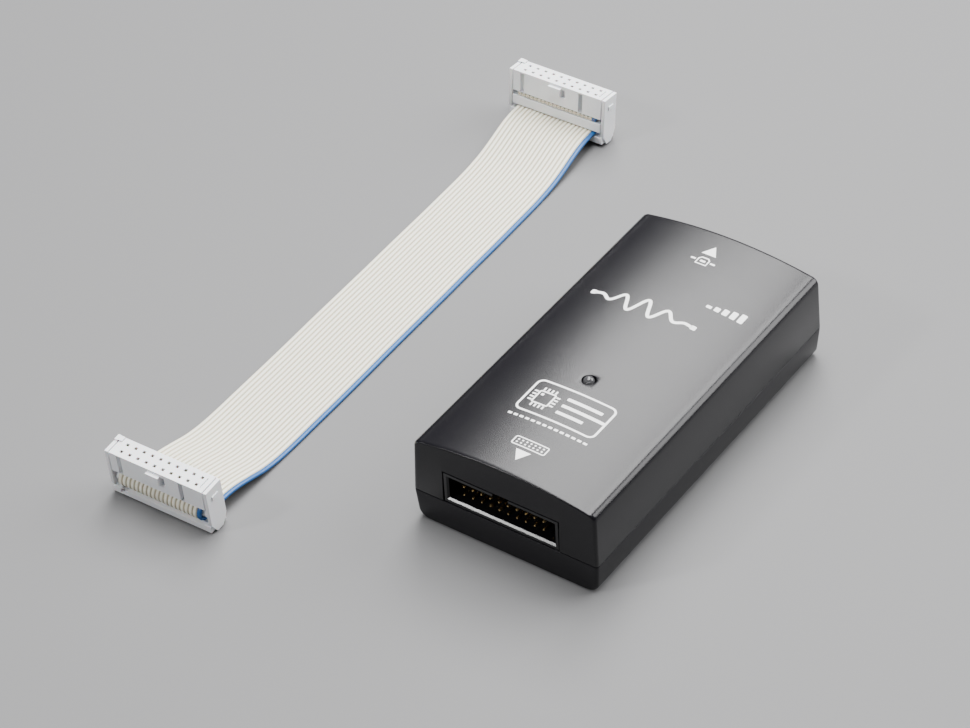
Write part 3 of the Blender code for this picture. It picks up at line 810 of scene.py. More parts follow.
class Finishes:
    """Every material of the object, built once and named for its piece."""

    def __init__(self) -> None:
        """Build the materials."""
        self.case = SparkGrainPlastic().material()
        self.header = MouldedPlastic("header_plastic_black", (0.004, 0.004, 0.005),
                                     (0.009, 0.009, 0.010), 0.13, 1900.0, 0.000005).material()
        self.socket = MouldedPlastic("socket_plastic_light", (0.84, 0.85, 0.87),
                                     (0.76, 0.77, 0.80), 0.38, 2300.0, 0.000006, 0.10).material()
        self.ribbon = RibbonVinyl().material()
        self.gold = PlatedMetal("gold_plating", (0.80, 0.57, 0.26), (0.56, 0.38, 0.16),
                                0.14).material()
        self.tin = PlatedMetal("tin_plating", (0.74, 0.74, 0.72), (0.50, 0.50, 0.49), 0.30,
                               (60.0, 900.0, 900.0)).material()
        self.copper = PlatedMetal("copper_strands", (0.60, 0.26, 0.12), (0.28, 0.12, 0.06),
                                  0.35).material()
        self.ink = ScreenInk().material()
        self.lens = LampResin().material()
        # partly real contact metal, partly painted shade: the contact blades are near black so that they darken the
        # contact holes
        self.bronze_hole_shade = PlatedMetal("contact_bronze_hole_shade", (0.085, 0.070, 0.052), (0.040, 0.034, 0.028), 0.50,
                                  (900.0, 900.0, 900.0)).material()
        self.board = BoardLaminate().material()
        self.label = LabelFilm().material()
        self.track = MouldedPlastic("board_tracks_green", (0.014, 0.150, 0.060), (0.009, 0.115, 0.046),
                                    0.24, 900.0, 0.000004).material()
        self.resin = MouldedPlastic("chip_resin_black", (0.014, 0.014, 0.015), (0.022, 0.022, 0.023),
                                    0.46, 4200.0, 0.000010).material()
        self.ceramic = MouldedPlastic("part_ceramic_tan", (0.34, 0.23, 0.12), (0.27, 0.18, 0.09),
                                      0.42, 3000.0, 0.000008).material()
        self.fuse = MouldedPlastic("fuse_polymer_ochre", (0.40, 0.30, 0.06), (0.31, 0.22, 0.04),
                                   0.48, 2600.0, 0.000012).material()
        self.nylon = MouldedPlastic("receptacle_nylon_white", (0.66, 0.66, 0.63), (0.58, 0.58, 0.55),
                                    0.36, 2100.0, 0.000006).material()
        self.solder = PlatedMetal("solder_joints", (0.66, 0.67, 0.68), (0.44, 0.45, 0.46), 0.22,
                                  (1500.0, 1500.0, 1500.0), 0.000010).material()
        self.can = PlatedMetal("drawn_can", (0.72, 0.72, 0.73), (0.55, 0.55, 0.56), 0.26,
                               (1400.0, 1400.0, 120.0)).material()
        self.steel = PlatedMetal("screw_steel", (0.50, 0.50, 0.50), (0.30, 0.30, 0.31), 0.28,
                                 (700.0, 700.0, 700.0), 0.000008).material()


# ---------------------------------------------------------------- pieces
class Shading(Enum):
    """How a finished mesh is shaded."""

    FLAT = 0
    SMOOTH = 35
    SOFT = 60
    ROUNDED = 180


@dataclass
class Piece:
    """One named object of the model and where it belongs."""

    name: str
    body: Body
    slot: str
    finish: bpy.types.Material
    replaces: tuple[str, ...] = ()
    shading: Shading = Shading.SMOOTH
    bevel: float = 0.0

    def make(self, bm: bmesh.types.BMesh) -> bpy.types.Object:
        """Turn a bmesh into the finished object.

        Args:
            bm: The shape, which is used up.

        Returns:
            The object, at the origin and riding on its body.
        """
        bmesh.ops.remove_doubles(bm, verts=bm.verts, dist=2e-7)
        mesh = bpy.data.meshes.new(self.name)
        bm.to_mesh(mesh)
        bm.free()
        mesh.materials.append(self.finish)
        if self.shading is not Shading.FLAT:
            mesh.shade_smooth()
            if self.shading is not Shading.ROUNDED:
                mesh.set_sharp_from_angle(angle=math.radians(self.shading.value))
        obj = bpy.data.objects.new(self.name, mesh)
        bpy.context.scene.collection.objects.link(obj)
        if self.bevel:
            modifier = obj.modifiers.new("edges", "BEVEL")
            modifier.width, modifier.segments = self.bevel, 2
            modifier.limit_method, modifier.angle_limit = "ANGLE", math.radians(40)
            modifier.harden_normals = True
        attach(obj, self.body.value)
        if self.replaces:
            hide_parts(*self.replaces)
        log.info("%s on %s: %d faces", self.name, self.body.value, len(mesh.polygons))
        return obj


# ---------------------------------------------------------------- target lead
class End(Enum):
    """The two ends of the lead; the value is the side that the cable folds on."""

    NEAR = -1
    FAR = 1


@dataclass
class SocketPlace:
    """Where a socket of the lead stands on the table."""

    end: End
    spot: tuple[float, float]
    lean: float
    yaw: float = math.radians(1.0)
    thickness: float = 0.0060

    def matrix(self) -> Matrix:
        """Return the socket's frame: X along it, Z up through its contacts."""
        lift = self.thickness / 2 * abs(math.sin(self.lean))
        return (Matrix.Translation((*self.spot, lift)) @ Matrix.Rotation(self.yaw, 4, "Z")
                @ Matrix.Rotation(self.lean, 4, "X"))


@dataclass
class RibbonCable:
    """Flat 20-way cable from cut end to cut end, and its copper strands."""

    near: SocketPlace
    far: SocketPlace
    finishes: Finishes
    ways: int = 20
    pitch: float = 0.00127
    thickness: float = 0.0009
    web: float = 0.00036
    lower_z: float = 0.00305
    upper_z: float = 0.00725
    fold_y: float = -0.0009
    steps: int = 4
    route: tuple[Point, ...] = (
        (-0.0796, -0.0730, 0.00360), (-0.0794, -0.0690, 0.00330), (-0.0791, -0.0640, 0.00235),
        (-0.0789, -0.0590, 0.00125), (-0.0788, -0.0530, 0.00062), (-0.0788, -0.0460, 0.00050),
        (-0.0789, -0.0380, 0.00050), (-0.0790, -0.0280, 0.00050), (-0.0792, -0.0170, 0.00050),
        (-0.0795, -0.0050, 0.00050), (-0.0797, 0.0070, 0.00050), (-0.0799, 0.0190, 0.00050),
        (-0.0802, 0.0310, 0.00050), (-0.0804, 0.0430, 0.00050), (-0.0807, 0.0540, 0.00050),
        (-0.0810, 0.0640, 0.00056), (-0.0814, 0.0720, 0.00100), (-0.0818, 0.0780, 0.00190),
        (-0.0822, 0.0830, 0.00290), (-0.0825, 0.0870, 0.00360), (-0.0827, 0.0905, 0.00393),
    )

    def fold(self, place: SocketPlace) -> list[Vector]:
        """Return the cable's centre through one socket, from its cut end to its way out."""
        radius, middle = (self.upper_z - self.lower_z) / 2, (self.upper_z + self.lower_z) / 2
        half = place.thickness / 2
        points = [(half - 0.0002, self.upper_z), (0.0010, self.upper_z)]
        points += arc((self.fold_y, middle), radius, 90, 270, 10)
        points += [(0.0010, self.lower_z), (half, self.lower_z)]
        return [place.matrix() @ Vector((0.0, -place.end.value * y, z)) for y, z in points]

    def smooth(self, points: Sequence[Point]) -> list[Vector]:
        """Read a Catmull-Rom curve through all points but the first and last."""
        result = []
        for i in range(1, len(points) - 2):
            p0, p1, p2, p3 = (Vector(p) for p in points[i - 1:i + 3])
            for k in range(self.steps):
                t = k / self.steps
                result.append(0.5 * (2 * p1 + (p2 - p0) * t
                                     + (2 * p0 - 5 * p1 + 4 * p2 - p3) * t ** 2
                                     + (3 * p1 - p0 - 3 * p2 + p3) * t ** 3))
        return result + [Vector(points[-2])]

    def path(self) -> list[Vector]:
        """Return the centre line from one cut end to the other."""
        near, far = self.fold(self.near), self.fold(self.far)[::-1]
        middle = self.smooth([near[-2], near[-1], *self.route, far[0], far[1]])
        return near[:-1] + middle + far[1:]

    def across(self) -> Vector:
        """Return the direction of the cable's width."""
        return Vector((math.cos(self.near.yaw), math.sin(self.near.yaw), 0.0))

    def outline(self) -> list[tuple[float, float]]:
        """Return the cable's cross-section: a row of round conductors joined by webs."""
        half_t, half_w = self.thickness / 2, self.web / 2
        steps = (-0.5, -0.40, -0.28, -0.14, 0.0, 0.14, 0.28, 0.40)
        top = []
        for way in range(self.ways):
            centre = (way - (self.ways - 1) / 2) * self.pitch
            for s in steps:
                rise = math.sqrt(max(0.0, 1.0 - (s / 0.5) ** 2))
                top.append((centre + s * self.pitch, half_w + (half_t - half_w) * rise))
        top[0] = (top[0][0] + 0.00004, half_w * 0.6)
        top.append((-top[0][0], top[0][1]))
        return top + [(x, -z) for x, z in reversed(top)]

    def build(self) -> None:
        """Make the cable and the ends of its conductors."""
        path = self.path()
        frames = frames_along(path, self.across())
        bm = sweep(self.outline(), frames)
        lengths = [0.0]
        for a, b in zip(path, path[1:]):
            lengths.append(lengths[-1] + (b - a).length)
        outline = self.outline()
        order, station = bm.verts.layers.int["order"], bm.verts.layers.int["station"]
        across, along = bm.verts.layers.float.new("across"), bm.verts.layers.float.new("along")
        for vert in bm.verts:
            vert[across] = outline[vert[order]][0] / (self.ways * self.pitch) + 0.5
            vert[along] = lengths[vert[station]]
        cable = Piece("flat_cable", Body.LEAD, "ribbon_vinyl", self.finishes.ribbon,
                      ("ribbon_cable",), Shading.SOFT).make(bm)
        self.strands(frames)
        log.info("cable length %.4f m", lengths[-1])
        parts = [IdcSocket(place, self.finishes).build() for place in (self.near, self.far)]
        self.ways * self.pitch

    def strands(self, frames: Sequence[Matrix]) -> None:
        """Make the cut copper strands that show at both ends of the cable.

        Args:
            frames: The cable's frames from end to end.
        """
        bm = bmesh.new()
        for end, turn in ((frames[0], 90), (frames[-1], -90)):
            for way in range(self.ways):
                x = (way - (self.ways - 1) / 2) * self.pitch
                spot = end @ Matrix.Translation((x, 0, 0)) @ Matrix.Rotation(math.radians(turn), 4, "X")
                for a in range(0, 360, 60):
                    r = 0.00011
                    shift = Matrix.Translation((r * math.cos(math.radians(a)),
                                                r * math.sin(math.radians(a)), 0.0))
                    bmesh.ops.create_cone(bm, cap_ends=True, segments=6, radius1=0.000055,
                                          radius2=0.000050, depth=0.00010, matrix=spot @ shift)
        Piece("cable_strands", Body.LEAD, "gold_plate", self.finishes.copper).make(bm)


@dataclass
class IdcSocket:
    """Insulation-displacement socket: body, cover and strain relief, contacts facing up.

    Sizes are in the socket's own frame: X along it, Y through it, Z up.
    """

    place: SocketPlace
    finishes: Finishes
    length: float = 0.0310
    thickness: float = 0.0060
    height: float = 0.0143
    arm: float = 0.0010
    bar: float = 0.0023
    body_low: float = 0.0080
    cover_low: float = 0.0038
    cover_high: float = 0.0065
    gap: float = 0.0003
    pitch: float = 0.00254
    positions: int = 10
    hole: float = 0.00088
    slots: tuple[float, float] = (-0.0113, 0.0076)
    slot_width: float = 0.0013

    @property
    def prefix(self) -> str:
        """Name of this end of the lead."""
        return self.place.end.name.lower()

    def contacts(self) -> list[tuple[float, float]]:
        """Return the centres of the contact holes."""
        return [((i - (self.positions - 1) / 2) * self.pitch, row * self.pitch / 2)
                for row in (-1, 1) for i in range(self.positions)]

    def body(self) -> bmesh.types.BMesh:
        """Shape the body: contact holes, latch slots, polarising key and its notch."""
        half_x, half_y = self.length / 2 - self.arm - self.gap, self.thickness / 2
        bm = block((-half_x, -half_y, self.body_low), (half_x, half_y, self.height))
        reach = self.hole / 2
        columns = sorted({x for x, _ in self.contacts()})
        slice_at(bm, 0, *(x + s * reach for x in columns for s in (-1, 1)))
        for slot in self.slots:
            slice_at(bm, 0, slot - self.slot_width / 2, slot + self.slot_width / 2)
        slice_at(bm, 0, -0.0024, 0.0015, 0.0026, 0.0127, 0.0130)
        slice_at(bm, 1, *(r * self.pitch / 2 + s * reach for r in (-1, 1) for s in (-1, 1)))
        top, front = (0, 0, 1), (0, -1, 0)
        slice_at(bm, 2, 0.0107, 0.0111, 0.0132, 0.0136, 0.0139)
        back = 0.0010
        for x, y in self.contacts():
            hole = faces_in(bm, (x - reach, y - reach, self.height - back),
                            (x + reach, y + reach, self.height + back), top)
            push(bm, hole, (0, 0, -0.0045), 0.00005)
        slit = faces_in(bm, (0.0127, -0.0019, self.height - back), (0.0130, 0.0019, self.height + back), top)
        push(bm, slit, (0, 0, -0.0006))
        for slot, depth in zip(self.slots, (0.0012, 0.0024)):
            cell = faces_in(bm, (slot - self.slot_width / 2, -half_y - back, self.body_low),
                            (slot + self.slot_width / 2, -half_y + back, 0.0139), front)
            push(bm, cell, (0, depth, 0))
        key = faces_in(bm, (-0.0024, -half_y - back, 0.0111), (0.0015, -half_y + back, 0.0136), front)
        push(bm, key, (0, -0.0010, 0))
        notch = faces_in(bm, (0.0015, -half_y - back, 0.0107), (0.0026, -half_y + back, 0.0132), front)
        push(bm, notch, (0, 0.0011, 0))
        return bm

    def cover(self) -> bmesh.types.BMesh:
        """Shape the cover that the cable folds round."""
        half_x, half_y = self.length / 2 - self.arm - self.gap, self.thickness / 2
        low, high = self.cover_low, self.cover_high
        nose = arc((-0.0009, (low + high) / 2), (high - low) / 2, 90, 270, 10)
        outline = nose + [(half_y, low), (half_y, high)]
        side = -self.place.end.value
        return sweep([(side * y, z) for y, z in outline],
                     [frame_at((x, 0, 0), Vector((0, 1, 0)), Vector((-1, 0, 0)))
                      for x in (half_x, -half_x)])

    def relief(self) -> bmesh.types.BMesh:
        """Shape the strain relief: a bar under the cable and two latching arms."""
        half_x, half_y = self.length / 2, self.thickness / 2
        outline = [(-half_y, self.height), (-half_y, 0.0030), (-0.0012, 0.0), (0.0012, 0.0),
                   (half_y, 0.0030), (half_y, self.height)]
        bm = bmesh.new()
        for side in (-1, 1):
            inner, outer = side * (half_x - self.arm), side * half_x
            add(bm, sweep(outline, [frame_at((x, 0, 0), Vector((0, 1, 0)), Vector((-1, 0, 0)))
                                    for x in sorted((inner, outer), reverse=True)]))
        top = self.height + 0.0004
        add(bm, block((-half_x + 0.00002, 0.0011, self.height - 0.0003), (-half_x + self.arm, half_y - 0.00002, top)))
        add(bm, block((-half_x + self.arm - 0.0001, 0.0013, self.height + 0.0001),
                      (-half_x + self.arm + 0.0012, half_y - 0.0001, top - 0.00002)))
        add(bm, block((half_x - self.arm / 2, -0.0012, 0.0105), (half_x + 0.0003, 0.0012, 0.0118)))
        bar = block((-half_x + self.arm / 2, -half_y, 0.0004), (half_x - self.arm / 2, half_y, self.bar))
        slice_at(bar, 0, -0.0128, -0.0106)
        slice_at(bar, 2, 0.0009)
        push(bar, faces_in(bar, (-0.0128, -0.004, 0.0009), (-0.0106, -0.0029, 0.0023), (0, -1, 0)),
             (0, 0.0012, 0))
        add(bm, bar)
        return bm

    def springs(self) -> bmesh.types.BMesh:
        """Shape the two blades of each contact, down in its hole."""
        bm = bmesh.new()
        for x, y in self.contacts():
            for side in (-1, 1):
                low, high = sorted((side * 0.00008, side * 0.00035))
                add(bm, block((x - 0.00034, y + low, self.body_low + 0.0020),
                              (x + 0.00034, y + high, self.height - 0.0003)))
        return bm

    def build(self) -> list[bpy.types.Object]:
        """Make the socket's pieces and return them."""
        prefix, place = self.prefix, self.place.matrix()
        made = []
        parts = {"socket_body": self.body, "socket_cover": self.cover, "strain_relief": self.relief}
        for part, shape in parts.items():
            bm = shape()
            bmesh.ops.transform(bm, matrix=place, verts=bm.verts)
            made.append(Piece(f"{prefix}_{part}_fine", Body.LEAD, "socket_plastic",
                              self.finishes.socket, (f"{prefix}_{part}",), Shading.ROUNDED,
                              0.00012).make(bm))
        bm = self.springs()
        bmesh.ops.transform(bm, matrix=place, verts=bm.verts)
        # the blades are real contacts, but they fill the holes up near the top and their near-black finish is painted
        # shade that darkens the holes
        made.append(Piece(f"{prefix}_contact_blades", Body.LEAD, "gold_plate", self.finishes.bronze_hole_shade,
                          (), Shading.FLAT).make(bm))
        return made


# ---------------------------------------------------------------- case
class Half(Enum):
    """The two shells of the case; the value is the way that their walls go from the seam."""

    TOP = 1
    BOTTOM = -1


@dataclass
class Opening:
    """A rectangular opening in an end wall that starts at the seam."""

    end: int
    low_x: float
    high_x: float
    top: float


@dataclass
class Case:
    """Crowned cover and tray of the pod."""

    finishes: Finishes
    width: float = 0.053
    length: float = 0.103
    seam: float = 0.0090
    gap: float = 0.0003
    seam_gap: float = 0.00018
    rim_round: float = 0.00022
    top: float = 0.0272
    draft: float = 0.0005
    wall: float = 0.0020
    corner: float = 0.0009
    shoulder: float = 0.0020
    shoulder_z: float = 0.0229
    keel: float = 0.0028
    crown_radius: float = 0.12637
    end_roll: float = 0.0004
    lip: float = 0.00085
    lip_height: float = 0.0018
    lamp: tuple[float, float] = (-0.0004, -0.0134)
    lamp_hole: float = 0.0018
    screws: tuple[tuple[float, float], ...] = ((-0.020, -0.033), (0.020, -0.033), (-0.020, 0.042),
                                               (0.020, 0.042))
    label: tuple[float, float] = (0.0386, 0.0606)
    openings: tuple[Opening, ...] = (Opening(-1, -0.0177, 0.0157, 0.0185),
                                     Opening(1, -0.0063, 0.0063, 0.0205))

    def crown(self, x: float) -> float:
        """Return the cover's height at x."""
        return self.top - self.crown_radius + math.sqrt(self.crown_radius ** 2 - x ** 2)

    def outline(self, half: Half) -> list[tuple[float, float]]:
        """Return a shell's cross-section from one seam edge to the other."""
        edge, inset = self.width / 2, self.width / 2 - self.draft
        if half is Half.TOP:
            flank = [(edge, self.seam + self.seam_gap)]
            flank += arc((inset - self.shoulder, self.shoulder_z), self.shoulder, 0, 78, 8)
            span = inset - self.shoulder
            middle = [(span * (1 - i / 20), self.crown(span * (1 - i / 20))) for i in range(41)]
        else:
            flank = [(edge, self.seam)]
            flank += arc((inset - self.keel, self.keel), self.keel, 0, -90, 8)
            middle = []
        return flank + middle + [(-x, z) for x, z in reversed(flank)]

    def stations(self, half: Half) -> list[Matrix]:
        """Return the frames that round the shell's ends, from end to end."""
        start = self.seam + (self.seam_gap if half is Half.TOP else 0.0)
        height = self.top - start if half is Half.TOP else self.seam
        rounds = [(self.corner + 0.0006, 0.0)]
        rounds += [(self.corner * (1 - math.cos(math.radians(a))),
                    self.corner * (1 - math.sin(math.radians(a)))) for a in range(90, -1, -15)]
        frames = []
        for side, series in ((-1, rounds), (1, rounds[::-1])):
            for inset, back in series:
                drop = inset * self.end_roll / self.corner
                size = Matrix.Diagonal((1 - inset / (self.width / 2), 1, 1 - drop / height, 1))
                place = Matrix.Translation((0, side * (self.length / 2 - back), start))
                frames.append(place @ size @ Matrix.Translation((0, 0, -start)))
        return frames

    def skin(self, half: Half) -> bmesh.types.BMesh:
        """Return a shell's outer skin, open at the seam, with its openings cut."""
        bm = sweep(self.outline(half), self.stations(half), closed=False)
        for opening in self.openings:
            y = opening.end * self.length / 2
            end = faces_in(bm, (-0.030, y - 0.0001, -0.001), (0.030, y + 0.0001, 0.030), (0, opening.end, 0))
            wide = max(end, key=lambda face: face.calc_area())
            slice_at(bm, 0, opening.low_x - 0.0003, opening.low_x, opening.high_x,
                     opening.high_x + 0.0003, faces=[wide])
            if half is Half.TOP:
                low = (opening.low_x, y - 0.0001, 0.0)
                high = (opening.high_x, y + 0.0001, 0.030)
                slice_at(bm, 2, opening.top, faces=faces_in(bm, low, high))
                cell = faces_in(bm, low, (high[0], high[1], opening.top))
                bmesh.ops.delete(bm, geom=cell, context="FACES")
        if half is Half.TOP:
            self.pierce(bm)
        else:
            self.recess(bm)
        for vert in bm.verts:
            rise = abs(vert.co.z - self.seam) / (self.top - self.seam if half is Half.TOP else self.seam)
            vert.co.y *= 1 - self.draft * rise / (self.length / 2)
        return bm

    def pierce(self, bm: bmesh.types.BMesh) -> None:
        """Make the round lamp hole in the crown."""
        reach = 0.0027
        (x, y), out = self.lamp, (0, 0, 1)
        slice_at(bm, 0, x - reach, x + reach, faces=faces_in(bm, (-0.006, -0.06, 0.026), (0.006, 0.06, 0.03), out))
        slice_at(bm, 1, y - reach, y + reach,
                 faces=faces_in(bm, (x - reach, -0.06, 0.026), (x + reach, 0.06, 0.03), out))
        patch = faces_in(bm, (x - reach, y - reach, 0.026), (x + reach, y + reach, 0.03), out)
        before = set(bm.edges)
        bmesh.ops.delete(bm, geom=patch, context="FACES")
        rim = [e for e in bm.edges if e.is_boundary and (e.verts[0].co - e.verts[1].co).length < 0.006
               and all(abs(v.co.x - x) < reach * 1.01 and abs(v.co.y - y) < reach * 1.01
                       and v.co.z > 0.025 for v in e.verts)]
        bmesh.ops.subdivide_edges(bm, edges=[e for e in rim if e.calc_length() > 0.003], cuts=5)
        rim = [e for e in bm.edges if e.is_boundary and all(abs(v.co.x - x) < reach * 1.01
               and abs(v.co.y - y) < reach * 1.01 and v.co.z > 0.025 for v in e.verts)]
        circle = bmesh.ops.create_circle(bm, segments=48, radius=self.lamp_hole,
                                         matrix=Matrix.Translation((x, y, 0)))["verts"]
        for vert in circle:
            vert.co.z = self.crown(vert.co.x)
        ring = list({e for v in circle for e in v.link_edges})
        bmesh.ops.bridge_loops(bm, edges=rim + ring)
        bmesh.ops.recalc_face_normals(bm, faces=bm.faces)
        log.debug("lamp hole: %d edges before", len(before))

    def recess(self, bm: bmesh.types.BMesh) -> None:
        """Sink the label's recess into the underside."""
        x, y = self.label[0] / 2, self.label[1] / 2
        under = faces_in(bm, (-0.03, -0.06, -0.001), (0.03, 0.06, 0.0001), (0, 0, -1))
        slice_at(bm, 0, -x, x, faces=under)
        under = faces_in(bm, (-x, -0.06, -0.001), (x, 0.06, 0.0001), (0, 0, -1))
        slice_at(bm, 1, -y, y, faces=under)
        push(bm, faces_in(bm, (-x, -y, -0.001), (x, y, 0.0001), (0, 0, -1)), (0, 0, 0.0006))

    def inward(self, co: Vector, depth: float, half: Half) -> Vector:
        """Return a point of the outer skin moved in under a wall of some depth."""
        if half is Half.TOP:
            lean = min(max((co.z - self.seam) / (self.shoulder_z - self.seam), 0.0), 1.0)
        else:
            lean = min(max((self.seam - co.z) / (self.seam - self.keel), 0.0), 1.0)
        limit = self.width / 2 - self.draft * lean - depth
        x = min(max(co.x, -limit), limit)
        limit = self.length / 2 - self.draft * lean - depth
        return Vector((x, min(max(co.y, -limit), limit), co.z))

    def shell(self, half: Half) -> bmesh.types.BMesh:
        """Return a shell with its wall, and the groove or lip along its seam."""
        bm = self.skin(half)
        start = self.seam + (self.seam_gap if half is Half.TOP else 0.0)
        groove = self.seam + self.lip_height + self.gap
        edges = [e for e in bm.edges if e.is_boundary]
        bore = [e for e in edges if min(v.co.z for v in e.verts) > 0.0240]
        rim = outer_rim = [e for e in edges if e not in bore]
        made = bmesh.ops.duplicate(bm, geom=bm.verts[:] + bm.edges[:] + bm.faces[:])["geom"]
        inner = [g for g in made if isinstance(g, bmesh.types.BMVert)]
        for vert in inner:
            vert.co = self.inside(vert.co, half)
        bmesh.ops.reverse_faces(bm, faces=[g for g in made if isinstance(g, bmesh.types.BMFace)])
        if half is Half.TOP:
            steps = [(self.wall - self.lip - self.gap, start), (self.wall - self.lip - self.gap, groove),
                     (self.wall, groove)]
        else:
            lip_top = self.seam + self.lip_height
            steps = [(self.wall - self.lip, start), (self.wall - self.lip, lip_top), (self.wall, lip_top)]
        base = {}
        for depth, z in steps:
            fresh = bmesh.ops.extrude_edge_only(bm, edges=rim)
            rim = [g for g in fresh["geom"] if isinstance(g, bmesh.types.BMEdge)]
            for vert in new_verts(fresh):
                vert.co = self.inward(vert.co, depth, half)
                if abs(vert.co.z - start) < 0.0019 and not self.in_opening(vert.co, half):
                    vert.co.z = z
                base[vert] = depth
        if bore:
            fresh = bmesh.ops.extrude_edge_only(bm, edges=bore)
            for vert in new_verts(fresh):
                vert.co = self.inside(vert.co, half)
        if half is Half.BOTTOM:
            fresh = bmesh.ops.extrude_edge_only(bm, edges=rim)
            for vert in new_verts(fresh):
                vert.co.z = self.seam
        bmesh.ops.remove_doubles(bm, verts=bm.verts, dist=2e-6)
        bmesh.ops.dissolve_degenerate(bm, edges=bm.edges, dist=1e-6)
        bmesh.ops.recalc_face_normals(bm, faces=bm.faces)
        round_edges(bm, [e for e in outer_rim + bore if e.is_valid], self.rim_round)
        return bm

    def in_opening(self, co: Vector, half: Half) -> bool:
        """Tell whether a rim point of the tray lies in an opening."""
        return half is Half.BOTTOM and any(o.end * co.y > 0.045 and o.low_x - 1e-6 < co.x < o.high_x + 1e-6
                                           for o in self.openings)

    def inside(self, co: Vector, half: Half) -> Vector:
        """Return the inner skin's point under a point of the outer skin."""
        if half is Half.BOTTOM:
            moved = self.inward(co, self.wall, half)
            moved.z = max(co.z, self.wall)
            return moved
        low = self.seam + self.lip_height + self.gap
        moved = self.inward(Vector((co.x, co.y, max(co.z, low))), self.wall, half)
        ceiling = self.crown(moved.x) - self.wall
        if moved.z > ceiling - 0.0012 and abs(co.y) > self.length / 2 - self.corner - self.draft:
            columns = [x for x, z in self.outline(half) if z > self.shoulder_z]
            moved.x = min(columns, key=lambda x: abs(x - moved.x))
            moved.x = min(max(moved.x, -self.inner_edge), self.inner_edge)
            end = math.copysign(self.length / 2 - self.draft - self.wall, co.y)
            return Vector((moved.x, end, self.crown(moved.x) - self.wall))
        moved.z = min(moved.z, ceiling)
        return moved

    @property
    def inner_edge(self) -> float:
        """Half width of the cover's inside under its crown."""
        return self.width / 2 - self.draft - self.wall

    def fittings(self) -> bmesh.types.BMesh:
        """Return the tray's screw posts and locating tabs."""
        bm = bmesh.new()
        top = 0.0071
        profile = [(0, 0.0015), (0.0028, 0.0015), (0.0028, top - 0.0002), (0.0026, top), (0.0014, top),
                   (0.0014, 0.0024), (0, 0.0024)]
        for x, y in self.screws:
            add(bm, turned(profile, (x, y, 0), 24))
        outer = self.width / 2 - self.wall - 0.0004
        for side in (-1, 1):
            for y in (-0.022, 0.022):
                for x_far, low, high in ((outer + 0.0008, 0.0075, 0.0106), (outer, 0.0090, 0.0130)):
                    xs = sorted((side * (outer - 0.0007), side * x_far))
                    add(bm, block((xs[0], y - 0.004, low), (xs[1], y + 0.004, high), 0.00015, 1))
        return bm

    def build(self) -> None:
        """Make both shells."""
        Piece("case_cover", Body.LID, "case_plastic", self.finishes.case, ("top_shell",),
              Shading.SMOOTH).make(self.shell(Half.TOP))
        tray = self.shell(Half.BOTTOM)
        add(tray, self.fittings())
        Piece("case_tray", Body.BASE, "case_plastic", self.finishes.case, ("bottom_shell",),
              Shading.SMOOTH).make(tray)


